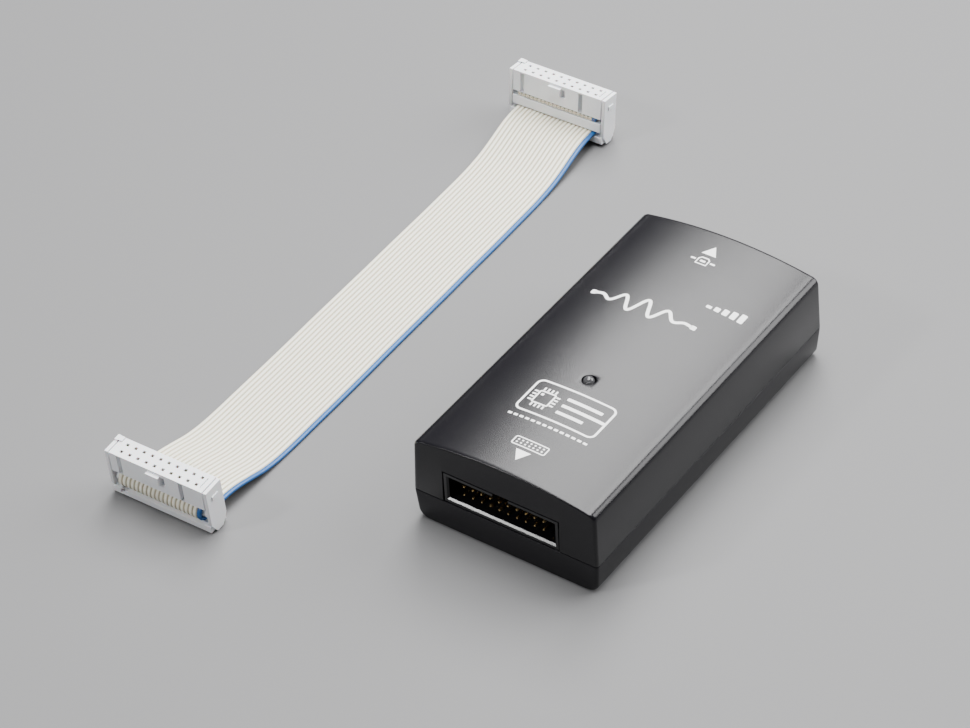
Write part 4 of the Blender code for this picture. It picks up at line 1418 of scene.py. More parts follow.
# ---------------------------------------------------------------- print on the cover
@dataclass
class CoverPrint:
    """Plain pictograms in white ink that follow the crown."""

    case: Case
    finishes: Finishes
    rise: float = 0.00003
    sink: float = 0.00006
    line: float = 0.00042

    def plate(self, outline: Sequence[Point], place: Point = (0.0, 0.0)) -> bmesh.types.BMesh:
        """Return a flat closed shape of ink at height zero.

        Args:
            outline: Points (x, y) of the shape.
            place: Shift of the shape.

        Returns:
            The shape, as thick as the ink.
        """
        bm = bmesh.new()
        face = bm.faces.new([bm.verts.new((x + place[0], y + place[1], -self.sink)) for x, y in outline])
        made = bmesh.ops.extrude_face_region(bm, geom=[face])
        bmesh.ops.translate(bm, verts=new_verts(made), vec=(0, 0, self.rise + self.sink))
        bmesh.ops.recalc_face_normals(bm, faces=bm.faces)
        return bm

    def bar(self, x: float, y: float, width: float, height: float) -> bmesh.types.BMesh:
        """Return a bar of ink with rounded corners, centred at (x, y)."""
        radius = min(width, height) * 0.2
        return self.plate(rounded_outline(width, height, radius, 3), (x, y))

    def stroke(self, points: Sequence[Point], width: float, closed: bool = False) -> bmesh.types.BMesh:
        """Return a line of ink along a flat route.

        Args:
            points: Route (x, y).
            width: Width of the line, or its widest where it swells.
            closed: Whether the route's ends are joined.

        Returns:
            The line.
        """
        route = [Vector((x, y, (self.rise - self.sink) / 2)) for x, y in points]
        count, half = len(route), (self.rise + self.sink) / 2
        if closed:
            route = [route[-1], *route, route[0], route[1]]
        frames = []
        for i in range(1, len(route) - 1):
            along = (route[i + 1] - route[i - 1]).normalized()
            frames.append(frame_at(route[i], Vector((along.y, -along.x, 0)), along))
        if not closed:
            first, last = (route[1] - route[0]).normalized(), (route[-1] - route[-2]).normalized()
            frames.insert(0, frame_at(route[0], Vector((first.y, -first.x, 0)), first))
            frames.append(frame_at(route[-1], Vector((last.y, -last.x, 0)), last))
        outline = [(-width / 2, -half), (width / 2, -half), (width / 2, half), (-width / 2, half)]
        bm = sweep(outline, frames, capped=not closed)
        log.debug("stroke of %d points", count)
        return bm

    def ring(self, outline: Sequence[Point], place: Point, width: float) -> bmesh.types.BMesh:
        """Return a closed line of ink round an outline."""
        return self.stroke([(x + place[0], y + place[1]) for x, y in outline], width, closed=True)

    def arrow(self, y: float, way: int, x: float, size: float = 0.0021) -> bmesh.types.BMesh:
        """Return a solid triangle that points to one end."""
        return self.plate([(x - size, y - way * size * 0.75), (x + size, y - way * size * 0.75),
                           (x, y + way * size * 0.95)][::way])

    def header_sign(self, x: float, y: float) -> list[bmesh.types.BMesh]:
        """Return a small picture of the box header."""
        shapes = [self.ring(rounded_outline(0.0092, 0.0027, 0.0004, 3), (x, y), 0.00034)]
        shapes += [self.bar(x + (i - 3) * 0.00118, y + s * 0.00048, 0.00048, 0.00048)
                   for i in range(7) for s in (-1, 1)]
        return shapes

    def receptacle_sign(self, x: float, y: float) -> list[bmesh.types.BMesh]:
        """Return a small picture of the receptacle and its cable."""
        mouth = [(-0.0015, -0.0013), (0.0015, -0.0013), (0.0015, 0.0007), (0.0009, 0.0013),
                 (-0.0009, 0.0013), (-0.0015, 0.0007)]
        return [self.ring(mouth, (x, y), 0.00042), self.bar(x, y - 0.0001, 0.0015, 0.0007),
                self.bar(x + 0.0028, y, 0.0014, 0.0006), self.bar(x - 0.0028, y, 0.0014, 0.0006)]

    def trace_sign(self, x: float, y: float) -> list[bmesh.types.BMesh]:
        """Return a signal trace: a run-in, a swelling wave and a run-out."""
        points = []
        for i in range(121):
            t = i / 120
            swell = math.sin(math.pi * t) ** 1.5
            points.append((x + (t - 0.5) * 0.0290,
                           y + 0.0034 * swell * math.sin(math.tau * 4.5 * t) * (1.0 - 0.25 * t)))
        return [self.stroke(points, 0.00092), self.bar(x - 0.0145, y, 0.0015, 0.0015),
                self.bar(x + 0.0145, y, 0.0015, 0.0015)]

    def level_sign(self, x: float, y: float) -> list[bmesh.types.BMesh]:
        """Return a row of bars of growing height."""
        return [self.bar(x + (i - 2) * 0.0022, y - 0.0016 + (0.0010 + i * 0.0006) / 2, 0.0015,
                         0.0010 + i * 0.0006) for i in range(5)]

    def chip_sign(self, x: float, y: float) -> list[bmesh.types.BMesh]:
        """Return a framed picture of a chip beside three lines."""
        shapes = [self.ring(rounded_outline(0.0222, 0.0116, 0.0016, 5), (x, y), 0.00058)]
        cx = x - 0.0064
        shapes.append(self.ring(rounded_outline(0.0044, 0.0044, 0.0004, 3), (cx, y), 0.00045))
        shapes.append(self.bar(cx - 0.0011, y + 0.0011, 0.0008, 0.0008))
        for i in range(4):
            shift = (i - 1.5) * 0.0011
            for s in (-1, 1):
                shapes.append(self.bar(cx + shift, y + s * 0.0031, 0.0005, 0.0011))
                shapes.append(self.bar(cx + s * 0.0031, y + shift, 0.0011, 0.0005))
        for row, width in ((1, 0.0100), (0, 0.0120), (-1, 0.0076)):
            shapes.append(self.bar(x - 0.0012 + width / 2, y + row * 0.0026, width, 0.0010))
        return shapes

    def dash_sign(self, x: float, y: float) -> list[bmesh.types.BMesh]:
        """Return a fine dashed line."""
        return [self.bar(x + (i - 6.5) * 0.00165, y, 0.0011, 0.0007) for i in range(14)]

    def build(self) -> None:
        """Lay every sign on the crown."""
        shapes = [self.arrow(-0.0443, -1, 0.0005), self.arrow(0.0436, 1, -0.0009)]
        shapes += self.header_sign(0.0007, -0.0402) + self.receptacle_sign(-0.0009, 0.0393)
        shapes += self.trace_sign(-0.0040, 0.0165) + self.level_sign(0.0140, 0.0264)
        shapes += self.chip_sign(0.0004, -0.0245) + self.dash_sign(0.0004, -0.0326)
        bm = bmesh.new()
        for shape in shapes:
            add(bm, shape)
        slice_at(bm, 0, *(i * 0.001 for i in range(-25, 26)))
        for vert in bm.verts:
            vert.co.z += self.case.crown(vert.co.x)
        Piece("cover_print", Body.LID, "label_film", self.finishes.ink, (), Shading.FLAT).make(bm)


# ---------------------------------------------------------------- box header
@dataclass
class BoxHeader:
    """Keyed black shroud with two rows of gold pins."""

    finishes: Finishes
    centre: tuple[float, float] = (-0.0010, 0.01375)
    length: float = 0.0328
    height: float = 0.0089
    depth: float = 0.0089
    wall: float = 0.0012
    back: float = 0.0015
    rim_y: float = -0.0512
    keyway: float = 0.0045
    key_back: float = 0.0032
    chamfer: float = 0.00045
    pitch: float = 0.00254
    pin: float = 0.00064
    tip_y: float = -0.0500
    foot_z: float = 0.0058
    positions: int = 10

    def shroud(self) -> bmesh.types.BMesh:
        """Shape the shroud: pocket with a chamfered mouth, and the keyway in its upper wall."""
        cx, cz = self.centre
        half_x, half_z = self.length / 2, self.height / 2
        in_x, in_z = half_x - self.wall, half_z - self.wall
        key, back_y = self.keyway / 2, self.rim_y + self.depth
        outline = [(-key, in_z), (-in_x, in_z), (-in_x, -in_z), (in_x, -in_z), (in_x, in_z), (key, in_z),
                   (key, half_z), (half_x, half_z), (half_x, -half_z), (-half_x, -half_z),
                   (-half_x, half_z), (-key, half_z)]
        bm = prism([(cx + x, cz + z) for x, z in outline], (0, self.rim_y, 0),
                   (0, back_y - self.key_back, 0))
        rim = faces_in(bm, (-1, self.rim_y - 0.001, 0), (1, self.rim_y + 0.0001, 1), (0, -1, 0))
        inner = [e for e in rim[0].edges if all(abs(v.co.x - cx) < in_x + 1e-5
                                                and abs(v.co.z - cz) < in_z + 1e-5 for v in e.verts)]
        round_edges(bm, inner, self.chamfer, 1)
        fit = 0.00001
        rear = block((cx - half_x + fit, back_y - self.key_back, cz - half_z + fit),
                     (cx + half_x - fit, back_y, cz + half_z - fit))
        mouth = faces_in(rear, (-1, -1, 0), (1, back_y - self.key_back + 1e-5, 1), (0, -1, 0))
        bmesh.ops.inset_individual(rear, faces=mouth, thickness=self.wall, depth=0.0,
                                   use_even_offset=True)
        push(rear, mouth, (0, self.key_back - self.back, 0))
        add(bm, rear)
        ribs = [(cx + s * (half_x - 0.0035), cz - half_z) for s in (-1, 1)]
        for x, z in ribs:
            add(bm, block((x - 0.0006, self.rim_y + 0.002, z - 0.0003),
                          (x + 0.0006, back_y - 0.001, z + 0.0002)))
        return bm

    def pins(self) -> bmesh.types.BMesh:
        """Shape the twenty right-angle pins with pointed tips."""
        bm = bmesh.new()
        half = self.pin / 2
        square = [(-half, -half), (half, -half), (half, half), (-half, half)]
        across = Vector((1, 0, 0))
        for row in (0, 1):
            z = self.centre[1] + (row - 0.5) * self.pitch
            foot_y = self.rim_y + self.depth + 0.0017 + row * self.pitch
            bend = [(foot_y - 0.0009 + y, z - 0.0009 + dz)
                    for y, dz in arc((0, 0), 0.0009, 90, 0, 5)]
            for i in range(self.positions):
                x = self.centre[0] + (i - (self.positions - 1) / 2) * self.pitch
                route = [(x, self.tip_y, z), (x, self.tip_y + 0.0004, z)]
                route += [(x, y, h) for y, h in bend] + [(x, foot_y, self.foot_z + 0.0006),
                                                         (x, foot_y, self.foot_z)]
                frames = frames_along(route, across)
                frames[0] = frames[0] @ Matrix.Diagonal((0.55, 1, 0.55, 1))
                frames[-1] = frames[-1] @ Matrix.Diagonal((0.45, 1, 0.45, 1))
                add(bm, sweep(square, frames))
        return bm

    def build(self) -> None:
        """Make the shroud and the pins."""
        Piece("header_shroud_fine", Body.BASE, "header_plastic", self.finishes.header,
              ("header_shroud",), Shading.FLAT).make(self.shroud())
        Piece("header_pins", Body.BASE, "gold_plate", self.finishes.gold,
              tuple(f"header_pin_{n:02d}" for n in range(1, 21)), Shading.FLAT).make(self.pins())


# ---------------------------------------------------------------- status lamp
@dataclass
class StatusLamp:
    """Clear lamp through the cover, with its die, leads and spacer."""

    finishes: Finishes
    spot: tuple[float, float] = (-0.0004, -0.0134)
    radius: float = 0.0015
    flange: float = 0.0019
    top: float = 0.0281
    length: float = 0.0053
    board: float = 0.0093
    pitch: float = 0.00254

    def lens(self) -> bmesh.types.BMesh:
        """Shape the lens: a dome on a short cylinder with a flange."""
        base = self.top - self.length
        dome = [(x, self.top - self.radius + z) for x, z in arc((0, 0), self.radius, 0, 90, 10)]
        profile = [(0, base), (self.flange - 0.0001, base), (self.flange, base + 0.0001),
                   (self.flange, base + 0.0009), (self.flange - 0.0001, base + 0.0010),
                   (self.radius, base + 0.0010), *dome[:-1], (0, self.top)]
        return turned(profile, (*self.spot, 0), 40)

    def die(self) -> bmesh.types.BMesh:
        """Shape the two leads with the reflector cup and the anvil inside the lens."""
        bm = bmesh.new()
        (x, y), base = self.spot, self.top - self.length
        for side in (-1, 1):
            px = x + side * self.pitch / 2
            add(bm, block((px - 0.00025, y - 0.00025, 0.0062), (px + 0.00025, y + 0.00025, base + 0.0002)))
        add(bm, block((x - 0.0013, y - 0.0002, base + 0.0002), (x - 0.0003, y + 0.0002, base + 0.0026)))
        add(bm, block((x + 0.0001, y - 0.0002, base + 0.0002), (x + 0.0013, y + 0.0002, base + 0.0024)))
        cup = [(0, base + 0.0026), (0.0004, base + 0.0026), (0.0007, base + 0.0033),
               (0.0006, base + 0.0033), (0.0003, base + 0.0029), (0, base + 0.0029)]
        add(bm, turned(cup, (x + 0.0002, y, 0), 20))
        return bm

    def spacer(self) -> bmesh.types.BMesh:
        """Shape the black tube that holds the lamp at its height."""
        low, high = self.board, self.top - self.length - 0.0003
        profile = [(0.0019, low), (0.0025, low), (0.0025, high - 0.0002), (0.0024, high), (0.0020, high),
                   (0.0019, high - 0.0001), (0.0019, low)]
        return turned(profile, (*self.spot, 0), 32)

    def build(self) -> None:
        """Make the lamp's pieces."""
        Piece("status_lamp_lens", Body.BASE, "lamp_lens", self.finishes.lens, ("status_lamp",),
              Shading.SMOOTH).make(self.lens())
        Piece("status_lamp_leads", Body.BASE, "shield_metal", self.finishes.tin,
              ("lamp_lead_1", "lamp_lead_2"), Shading.FLAT).make(self.die())
        Piece("status_lamp_spacer", Body.BASE, "header_plastic", self.finishes.header,
              ("lamp_spacer",), Shading.SMOOTH).make(self.spacer())


# ---------------------------------------------------------------- receptacle
@dataclass
class UsbReceptacle:
    """Type-B receptacle: folded shield with leaf springs, nylon block and contacts."""

    finishes: Finishes
    width: float = 0.0120
    height: float = 0.0109
    depth: float = 0.0162
    mouth_y: float = 0.0512
    low: float = 0.0093
    sheet: float = 0.0004
    mouth: tuple[float, float, float] = (0.0086, 0.0079, 0.0018)

    def ring(self, outer: Sequence[Point], inner: Sequence[Point], start: float,
             end: float) -> bmesh.types.BMesh:
        """Return a flat-ended sleeve between two (x, z) outlines.

        Args:
            outer: Outside outline.
            inner: Inside outline.
            start: Where the sleeve begins on Y.
            end: Where it ends on Y.

        Returns:
            The sleeve.
        """
        bm = bmesh.new()
        loops = []
        for outline in (outer, inner):
            verts = [bm.verts.new((x, start, z)) for x, z in outline]
            loops += [bm.edges.new(pair) for pair in zip(verts, verts[1:] + verts[:1])]
        bmesh.ops.bridge_loops(bm, edges=loops)
        made = bmesh.ops.extrude_face_region(bm, geom=bm.faces[:])
        bmesh.ops.translate(bm, verts=new_verts(made), vec=(0, end - start, 0))
        bmesh.ops.recalc_face_normals(bm, faces=bm.faces)
        return bm

    def shield(self) -> bmesh.types.BMesh:
        """Shape the shield: sleeve, front flange, back plate, leaf springs and board tabs."""
        middle = self.low + self.height / 2
        outer = [(x, middle + z) for x, z in rounded_outline(self.width, self.height, 0.0009, 4)]
        inner = [(x, middle + z) for x, z in rounded_outline(self.width - 2 * self.sheet,
                                                             self.height - 2 * self.sheet, 0.0005, 4)]
        half, tall, cut = self.mouth[0] / 2, self.mouth[1] / 2, self.mouth[2]
        mouth = [(-half, -tall), (half, -tall), (half, tall - cut), (half - cut, tall),
                 (-half + cut, tall), (-half, tall - cut)]
        mouth = [(x, middle + z) for x, z in mouth]
        back = self.mouth_y - self.depth
        bm = self.ring(outer, inner, back, self.mouth_y - self.sheet)
        rim = [(x, middle + z) for x, z in rounded_outline(self.width - 0.00004,
                                                           self.height - 0.00004, 0.0009, 4)]
        add(bm, self.ring(rim, mouth, self.mouth_y - self.sheet - 0.00004, self.mouth_y))
        add(bm, prism(inner, (0, back + 0.0001, 0), (0, back + self.sheet, 0)))
        for x in (-0.0026, 0.0026):
            for y in (0.0405, 0.0470):
                top = self.low + self.height
                add(bm, block((x - 0.0009, y - 0.0019, top - 0.0001), (x + 0.0009, y + 0.0019, top + 0.00012),
                              0.0001, 1))
        for side in (-1, 1):
            for y in (0.0385, 0.0450):
                xs = sorted((side * (self.width / 2 - 0.0001), side * (self.width / 2 + 0.0001)))
                add(bm, block((xs[0], y - 0.0018, middle - 0.0012), (xs[1], y + 0.0018, middle + 0.0012)))
            xs = sorted((side * (self.width / 2 - 0.0003), side * (self.width / 2 + 0.0001)))
            add(bm, block((xs[0], 0.0418, 0.0066), (xs[1], 0.0440, self.low + 0.001)))
        return bm

    def build(self) -> None:
        """Make the shield and dress the block and its contacts."""
        Piece("receptacle_shield", Body.BASE, "shield_metal", self.finishes.tin, ("usb_shield",),
              Shading.SMOOTH).make(self.shield())
        dress("usb_tongue_block", self.finishes.nylon)
        for number in range(1, 5):
            dress(f"usb_contact_{number}", self.finishes.gold)


def dress(node: str, finish: bpy.types.Material) -> None:
    """Give a CAD part that stays visible its detailed finish."""
    for slot in bpy.data.objects[node].material_slots:
        slot.material = finish
    log.info("%s keeps its shape in %s", node, finish.name)


# ---------------------------------------------------------------- circuit board
class Side(Enum):
    """Side of a chip package; the value is its turn from the +Y side in degrees."""

    BACK = 0
    LEFT = 90
    FRONT = 180
    RIGHT = 270


@dataclass
class Package:
    """Moulded chip package with gull-wing leads."""

    name: str
    node: str
    centre: tuple[float, float]
    body: tuple[float, float, float]
    leads: dict[Side, tuple[int, float]]
    reach: float
    floor: float = 0.0093
    lead_width: float = 0.00030
    dot: bool = True

    def shape(self) -> bmesh.types.BMesh:
        """Shape the resin body: two drafted halves, and the dimple of the first lead."""
        width, length, height = self.body
        low, x, y = self.floor + 0.0001, *self.centre
        middle = low + height * 0.5
        bm = block((x - width / 2, y - length / 2, low), (x + width / 2, y + length / 2, low + height))
        slice_at(bm, 2, middle)
        for vert in bm.verts:
            if abs(vert.co.z - middle) > 1e-6:
                vert.co.x -= math.copysign(0.00012, vert.co.x - x)
                vert.co.y -= math.copysign(0.00012, vert.co.y - y)
        if self.dot:
            spot = (x - width / 2 + 0.0011, y - length / 2 + 0.0011)
            slice_at(bm, 0, spot[0] - 0.0003, spot[0] + 0.0003)
            slice_at(bm, 1, spot[1] - 0.0003, spot[1] + 0.0003)
            top = low + height
            cell = faces_in(bm, (spot[0] - 0.0003, spot[1] - 0.0003, top - 0.0001),
                            (spot[0] + 0.0003, spot[1] + 0.0003, top + 0.0001), (0, 0, 1))
            push(bm, cell, (0, 0, -0.0001), 0.00008)
        return bm

    def legs(self) -> bmesh.types.BMesh:
        """Shape the leads on every side that has some."""
        bm = bmesh.new()
        width, length, height = self.body
        half = self.lead_width / 2
        outline = [(-half, -0.00007), (half, -0.00007), (half, 0.00007), (-half, 0.00007)]
        low, middle = self.floor - 0.0002, self.floor + 0.0001 + height * 0.5
        for side, (count, pitch) in self.leads.items():
            edge = (length if side in (Side.BACK, Side.FRONT) else width) / 2
            turn = Matrix.Translation((*self.centre, 0)) @ Matrix.Rotation(math.radians(side.value), 4, "Z")
            for i in range(count):
                x = (i - (count - 1) / 2) * pitch
                route = [(x, edge - 0.0002, middle), (x, edge + self.reach * 0.25, middle),
                         (x, edge + self.reach * 0.50, low + 0.00008),
                         (x, edge + self.reach, low + 0.00007)]
                add(bm, sweep(outline, frames_along(route, Vector((1, 0, 0)))), turn)
        return bm

    def build(self, finishes: Finishes) -> None:
        """Make the body and the leads."""
        Piece(f"{self.name}_body", Body.BASE, "chip_resin", finishes.resin, (self.node,),
              Shading.FLAT).make(self.shape())
        Piece(f"{self.name}_leads", Body.BASE, "shield_metal", finishes.tin, (),
              Shading.FLAT).make(self.legs())


@dataclass
class CircuitBoard:
    """The board's tracks, pads, solder, small parts and packages."""

    finishes: Finishes
    header: BoxHeader
    top: float = 0.0090
    floor: float = 0.0093

    def track(self, points: Sequence[Point], width: float = 0.0003) -> bmesh.types.BMesh:
        """Return a raised track along a flat route on the board."""
        half, route = width / 2, [Vector((x, y, self.top + 0.00001)) for x, y in points]
        frames = []
        for i, point in enumerate(route):
            along = (route[min(i + 1, len(route) - 1)] - route[max(i - 1, 0)]).normalized()
            frames.append(frame_at(point, Vector((along.y, -along.x, 0)), along))
        outline = [(-half, -0.00003), (half, -0.00003), (half, 0.00002), (-half, 0.00002)]
        return sweep(outline, frames)

    def jog(self, start: Point, end: Point, bend: float) -> list[tuple[float, float]]:
        """Return a track route along Y with one slanted stretch.

        Args:
            start: First point.
            end: Last point.
            bend: Where on Y the slant begins.

        Returns:
            Four points.
        """
        slant = abs(end[0] - start[0]) * (1 if end[1] > start[1] else -1)
        return [tuple(start), (start[0], bend), (end[0], bend + slant), tuple(end)]

    def tracks(self) -> bmesh.types.BMesh:
        """Shape the bundles of tracks between the parts."""
        bm = bmesh.new()
        for centre in (-0.0110, 0.0090):
            for i in range(10):
                x = centre + (i - 4.5) * 0.00127
                pin = self.header.centre[0] + (i - 4.5) * 0.00254
                add(bm, self.track(self.jog((x, -0.0302), (pin * 0.55 + x * 0.45, -0.0362), -0.0315)))
                goal = 0.0040 + (i - 4.5) * 0.00065 + (0.0011 if centre > 0 else -0.0011)
                add(bm, self.track(self.jog((x, -0.0238), (goal, -0.0012), -0.0215 + 0.0004 * i)))
        for i in range(8):
            x = 0.0017 + i * 0.00065
            add(bm, self.track(self.jog((x, 0.0134), (x * 1.6 - 0.0010, 0.0250), 0.0150 + 0.0004 * i)))
        for s in (-1, 1):
            add(bm, self.track(self.jog((s * 0.0004, 0.0134), (s * 0.0012, 0.0340), 0.0160), 0.0004))
            add(bm, self.track([(s * 0.0212, -0.0280), (s * 0.0212, 0.0360)], 0.0012))
        for i in range(7):
            y = 0.0030 + i * 0.00065
            add(bm, self.track([(-0.0034, y), (-0.0060, y), (-0.0074, y + 0.0014), (-0.0086, y + 0.0014)]))
            add(bm, self.track([(0.0114, y), (0.0150, y), (0.0172, y - 0.0022), (0.0190, y - 0.0022)]))
        return bm

    def copper(self) -> bmesh.types.BMesh:
        """Shape the vias, pads and solder collars."""
        bm = bmesh.new()
        ring = [(0.00016, 0.0), (0.00034, 0.0), (0.00034, 0.00004), (0.00016, 0.00004), (0.00016, 0.0)]
        for i in range(46):
            x = ((i * 7.31) % 40.0 - 20.0) * MM
            y = ((i * 17.77) % 84.0 - 38.0) * MM
            add(bm, turned(ring, (x, y, self.top), 12))
        collar = [(0.00040, 0.0), (0.00085, 0.0), (0.00075, 0.00012), (0.00036, 0.00060),
                  (0.00030, 0.00060), (0.00040, 0.0)]
        for row in (0, 1):
            y = self.header.rim_y + self.header.depth + 0.0017 + row * self.header.pitch
            for i in range(self.header.positions):
                x = self.header.centre[0] + (i - 4.5) * self.header.pitch
                add(bm, turned(collar, (x, y, self.top), 16))
        for x, y in ((-0.00167, -0.0134), (0.00087, -0.0134)):
            add(bm, turned(collar, (x, y, self.top), 16))
        for x, y in ((-0.0190, 0.0270), (-0.0190, 0.0300), (-0.0188, 0.0120), (-0.0188, 0.0180),
                     (0.0196, 0.0000), (0.0196, -0.0030)):
            add(bm, block((x - 0.0008, y - 0.0008, self.top - 0.00002), (x + 0.0008, y + 0.0008, self.top + 0.00004)))
        return bm

    def small_parts(self) -> tuple[bmesh.types.BMesh, bmesh.types.BMesh, bmesh.types.BMesh]:
        """Shape the chip resistors, the chip capacitors and the end caps of both."""
        resistors, capacitors, caps = bmesh.new(), bmesh.new(), bmesh.new()
        places = [(-0.0185, -0.020 + i * 0.0024, i % 3 != 0, False) for i in range(8)]
        places += [(0.0186, -0.018 + i * 0.0026, i % 2 == 0, False) for i in range(6)]
        places += [(-0.006 + i * 0.0026, 0.0168, i % 2 == 0, True) for i in range(4)]
        places += [(0.0128, 0.0190, False, False), (0.0180, 0.0190, False, False),
                   (0.0172, 0.0350, True, True), (-0.0040, -0.0352, False, False),
                   (-0.0070, 0.0225, True, True), (-0.0045, 0.0300, False, True)]
        for x, y, resistor, upright in places:
            length, width, height = 0.0020, 0.00125, 0.00050 if resistor else 0.00085
            turn = Matrix.Translation((x, y, self.top + 0.00005)) @ Matrix.Rotation(
                math.radians(90 if upright else 0), 4, "Z")
            body = block((-length / 2 + 0.00032, -width / 2 + 0.00001, 0), (length / 2 - 0.00032, width / 2 - 0.00001, height))
            add(resistors if resistor else capacitors, body, turn)
            for side in (-1, 1):
                xs = sorted((side * length / 2, side * (length / 2 - 0.00036)))
                add(caps, block((xs[0], -width / 2, -0.00003), (xs[1], width / 2, height + 0.00002),
                                0.00006, 1), turn)
        for y in (0.0417, 0.0456):
            add(caps, block((-0.0126, y, self.top + 0.00002), (-0.0094, y + 0.0007, self.floor + 0.00115)))
        return resistors, capacitors, caps

    def crystal(self) -> bmesh.types.BMesh:
        """Shape the crystal's drawn can on its flange."""
        bm = prism([(x - 0.0140, y + 0.0080) for x, y in rounded_outline(0.0108, 0.0044, 0.0021, 8)],
                   (0, 0, self.floor), (0, 0, self.floor + 0.0004))
        can = prism([(x - 0.0140, y + 0.0080) for x, y in rounded_outline(0.0100, 0.0037, 0.00184, 8)],
                    (0, 0, self.floor + 0.0003), (0, 0, self.floor + 0.0035))
        top = faces_in(can, (-1, -1, self.floor + 0.0034), (1, 1, 1), (0, 0, 1))
        round_edges(can, top[0].edges, 0.0004, 3)
        add(bm, can)
        return bm

    def capacitor(self) -> bmesh.types.BMesh:
        """Shape the electrolytic can: rolled neck and rounded rim."""
        low = self.floor
        neck = [(0.0030 + 0.0001 * math.cos(a), low + 0.0016 + 0.0003 * math.sin(a)) for a in (4.7, 3.9, 3.1, 2.3, 1.6)]
        rim = arc((0.0027, low + 0.0073), 0.0004, 0, 90, 4)
        profile = [(0, low + 0.0002), (0.0030, low + 0.0002), (0.0031, low + 0.0004), (0.0031, low + 0.0012),
                   *neck, (0.0031, low + 0.0020), *rim, (0.0022, low + 0.00764), (0.0021, low + 0.0076),
                   (0, low + 0.0076)]
        bm = turned(profile, (-0.0140, 0.0290, 0), 40)
        return bm

    def build(self) -> None:
        """Make everything on the board."""
        f = self.finishes
        dress("circuit_board", f.board)
        for number in range(1, 5):
            dress(f"board_screw_{number}", f.steel)
        Piece("board_tracks", Body.BASE, "board_laminate", f.track, (), Shading.FLAT).make(self.tracks())
        Piece("board_solder", Body.BASE, "shield_metal", f.solder).make(self.copper())
        resistors, capacitors, caps = self.small_parts()
        Piece("chip_resistors", Body.BASE, "chip_resin", f.resin, (), Shading.FLAT).make(resistors)
        Piece("chip_capacitors", Body.BASE, "fuse_ceramic", f.ceramic, (), Shading.FLAT).make(capacitors)
        Piece("chip_part_ends", Body.BASE, "shield_metal", f.tin, (), Shading.FLAT).make(caps)
        four = {side: (16, 0.00065) for side in Side}
        two = {side: (10, 0.00114) for side in (Side.BACK, Side.FRONT)}
        Package("controller", "microcontroller", (0.0040, 0.0060), (0.0120, 0.0120, 0.0013), four,
                0.0010).build(f)
        Package("buffer_left", "line_buffer_1", (-0.0110, -0.0270), (0.0124, 0.0042, 0.0020), two,
                0.0009, lead_width=0.0004).build(f)
        Package("buffer_right", "line_buffer_2", (0.0090, -0.0270), (0.0124, 0.0042, 0.0020), two,
                0.0009, lead_width=0.0004).build(f)
        tabs = {Side.FRONT: (3, 0.0023), Side.BACK: (1, 0.001)}
        Package("regulator", "voltage_regulator", (0.0150, 0.0280), (0.0063, 0.0033, 0.0016), tabs,
                0.0014, lead_width=0.0008, dot=False).build(f)
        fuse = block((-0.0125, 0.0418, self.floor), (-0.0095, 0.0462, self.floor + 0.0011), 0.00012, 1)
        Piece("fuse_body", Body.BASE, "fuse_ceramic", f.fuse, ("resettable_fuse",),
              Shading.FLAT).make(fuse)
        Piece("crystal_fine", Body.BASE, "shield_metal", f.can, ("crystal_can",),
              Shading.SMOOTH).make(self.crystal())
        Piece("capacitor_fine", Body.BASE, "capacitor_can", f.can, ("smoothing_capacitor",),
              Shading.SMOOTH).make(self.capacitor())
        base = block((-0.0172, 0.0258, self.top + 0.0001), (-0.0108, 0.0322, self.top + 0.0009), 0.0003, 2)
        Piece("capacitor_base", Body.BASE, "header_plastic", f.header, (), Shading.FLAT).make(base)


# ---------------------------------------------------------------- studio
@dataclass
class SoftBox:
    """Rectangular soft light that looks at a point."""

    name: str
    azimuth: float
    elevation: float
    distance: float
    size: tuple[float, float]
    power: float
    aim: Point = (-0.03, 0.0, 0.01)

    def build(self) -> None:
        """Make the lamp."""
        lamp = bpy.data.lights.new(self.name, "AREA")
        lamp.shape, lamp.size, lamp.size_y = "RECTANGLE", *self.size
        lamp.energy = self.power
        obj = bpy.data.objects.new(self.name, lamp)
        bpy.context.scene.collection.objects.link(obj)
        a, e = math.radians(self.azimuth), math.radians(self.elevation)
        back = Vector((math.sin(a) * math.cos(e), -math.cos(a) * math.cos(e), math.sin(e)))
        obj.location = Vector(self.aim) + back * self.distance
        obj.rotation_euler = (-back).to_track_quat("-Z", "Y").to_euler()


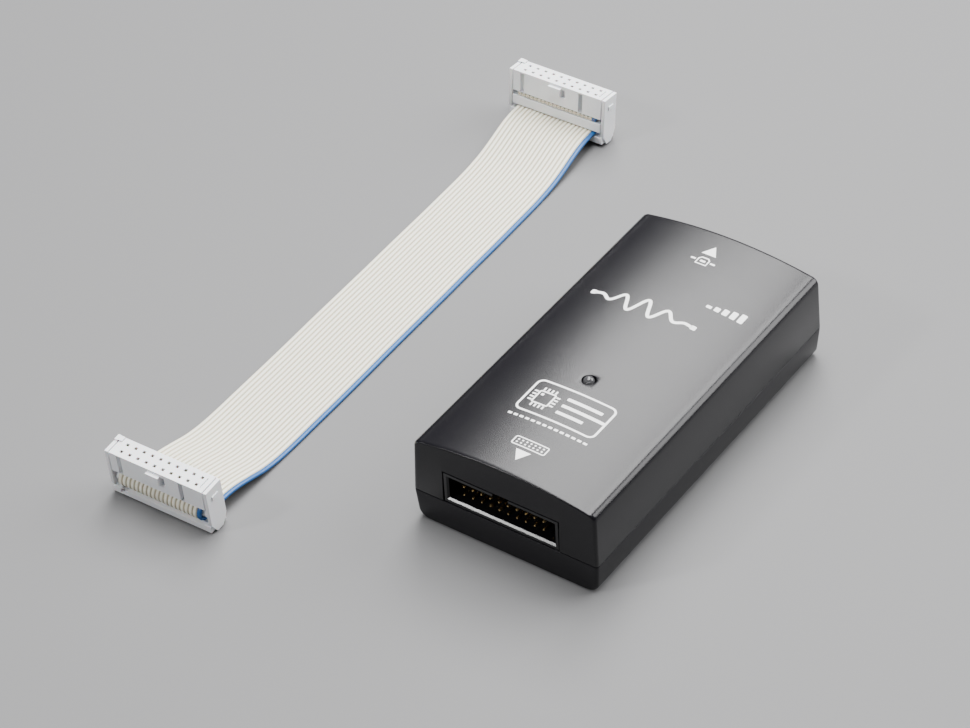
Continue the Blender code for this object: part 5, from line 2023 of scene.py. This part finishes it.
@dataclass
class Studio:
    """Camera, table and lights."""

    azimuth: float = 36.90
    elevation: float = 40.855
    roll: float = -3.499
    distance: float = 0.872
    target: Point = (-0.0345, -0.0092, 0.0137)
    lens: float = 130.12
    sky: float = 0.15

    def camera(self) -> None:
        """Make the camera: a long lens looking down on the near right corner."""
        data = bpy.data.cameras.new("camera")
        data.lens, data.sensor_width = self.lens, 36.0
        data.clip_start, data.clip_end = 0.05, 20.0
        obj = bpy.data.objects.new("camera", data)
        bpy.context.scene.collection.objects.link(obj)
        a, e = math.radians(self.azimuth), math.radians(self.elevation)
        back = Vector((math.sin(a) * math.cos(e), -math.cos(a) * math.cos(e), math.sin(e)))
        obj.location = Vector(self.target) + back * self.distance
        roll = Quaternion((0, 0, 1), math.radians(self.roll))
        obj.rotation_euler = ((-back).to_track_quat("-Z", "Y") @ roll).to_euler()
        bpy.context.scene.camera = obj

    def table(self) -> None:
        """Make the table top."""
        bm = bmesh.new()
        bmesh.ops.create_grid(bm, x_segments=1, y_segments=1, size=3.0)
        mesh = bpy.data.meshes.new("table_top")
        bm.to_mesh(mesh)
        bm.free()
        mesh.materials.append(StudioFloor().material())
        obj = bpy.data.objects.new("table_top", mesh)
        bpy.context.scene.collection.objects.link(obj)

    def lights(self) -> None:
        """Make the soft boxes and the even light of the room."""
        SoftBox("key_box", 203.0, 47.0, 1.0, (0.46, 0.44), 10.2).build()
        SoftBox("overhead_box", 209.0, 80.0, 1.5, (0.80, 1.15), 50.0).build()
        SoftBox("back_right_box", 143.0, 33.0, 1.3, (0.98, 0.95), 27.0).build()
        SoftBox("front_left_box", -35.0, 38.0, 1.6, (0.17, 0.17), 12.0).build()
        world = bpy.data.worlds.new("studio_room")
        world.use_nodes = True
        background = world.node_tree.nodes["Background"]
        background.inputs["Color"].default_value = (0.80, 0.82, 0.85, 1.0)
        background.inputs["Strength"].default_value = self.sky
        bpy.context.scene.world = world

    def build(self) -> None:
        """Make the whole studio."""
        self.camera()
        self.table()
        self.lights()


def main() -> None:
    """Build the studio, the lead and the programmer."""
    logging.basicConfig(level=logging.INFO, format="%(message)s")
    finishes = Finishes()
    Studio().build()
    near = SocketPlace(End.NEAR, (-0.0797, -0.0805), math.radians(4.0))
    far = SocketPlace(End.FAR, (-0.0830, 0.0970), math.radians(-7.0))
    RibbonCable(near, far, finishes).build()
    case = Case(finishes)
    case.build()
    CoverPrint(case, finishes).build()
    header = BoxHeader(finishes)
    header.build()
    StatusLamp(finishes).build()
    UsbReceptacle(finishes).build()
    CircuitBoard(finishes, header).build()
    dress("rating_label", finishes.label)


if __name__ == "__main__":
    main()
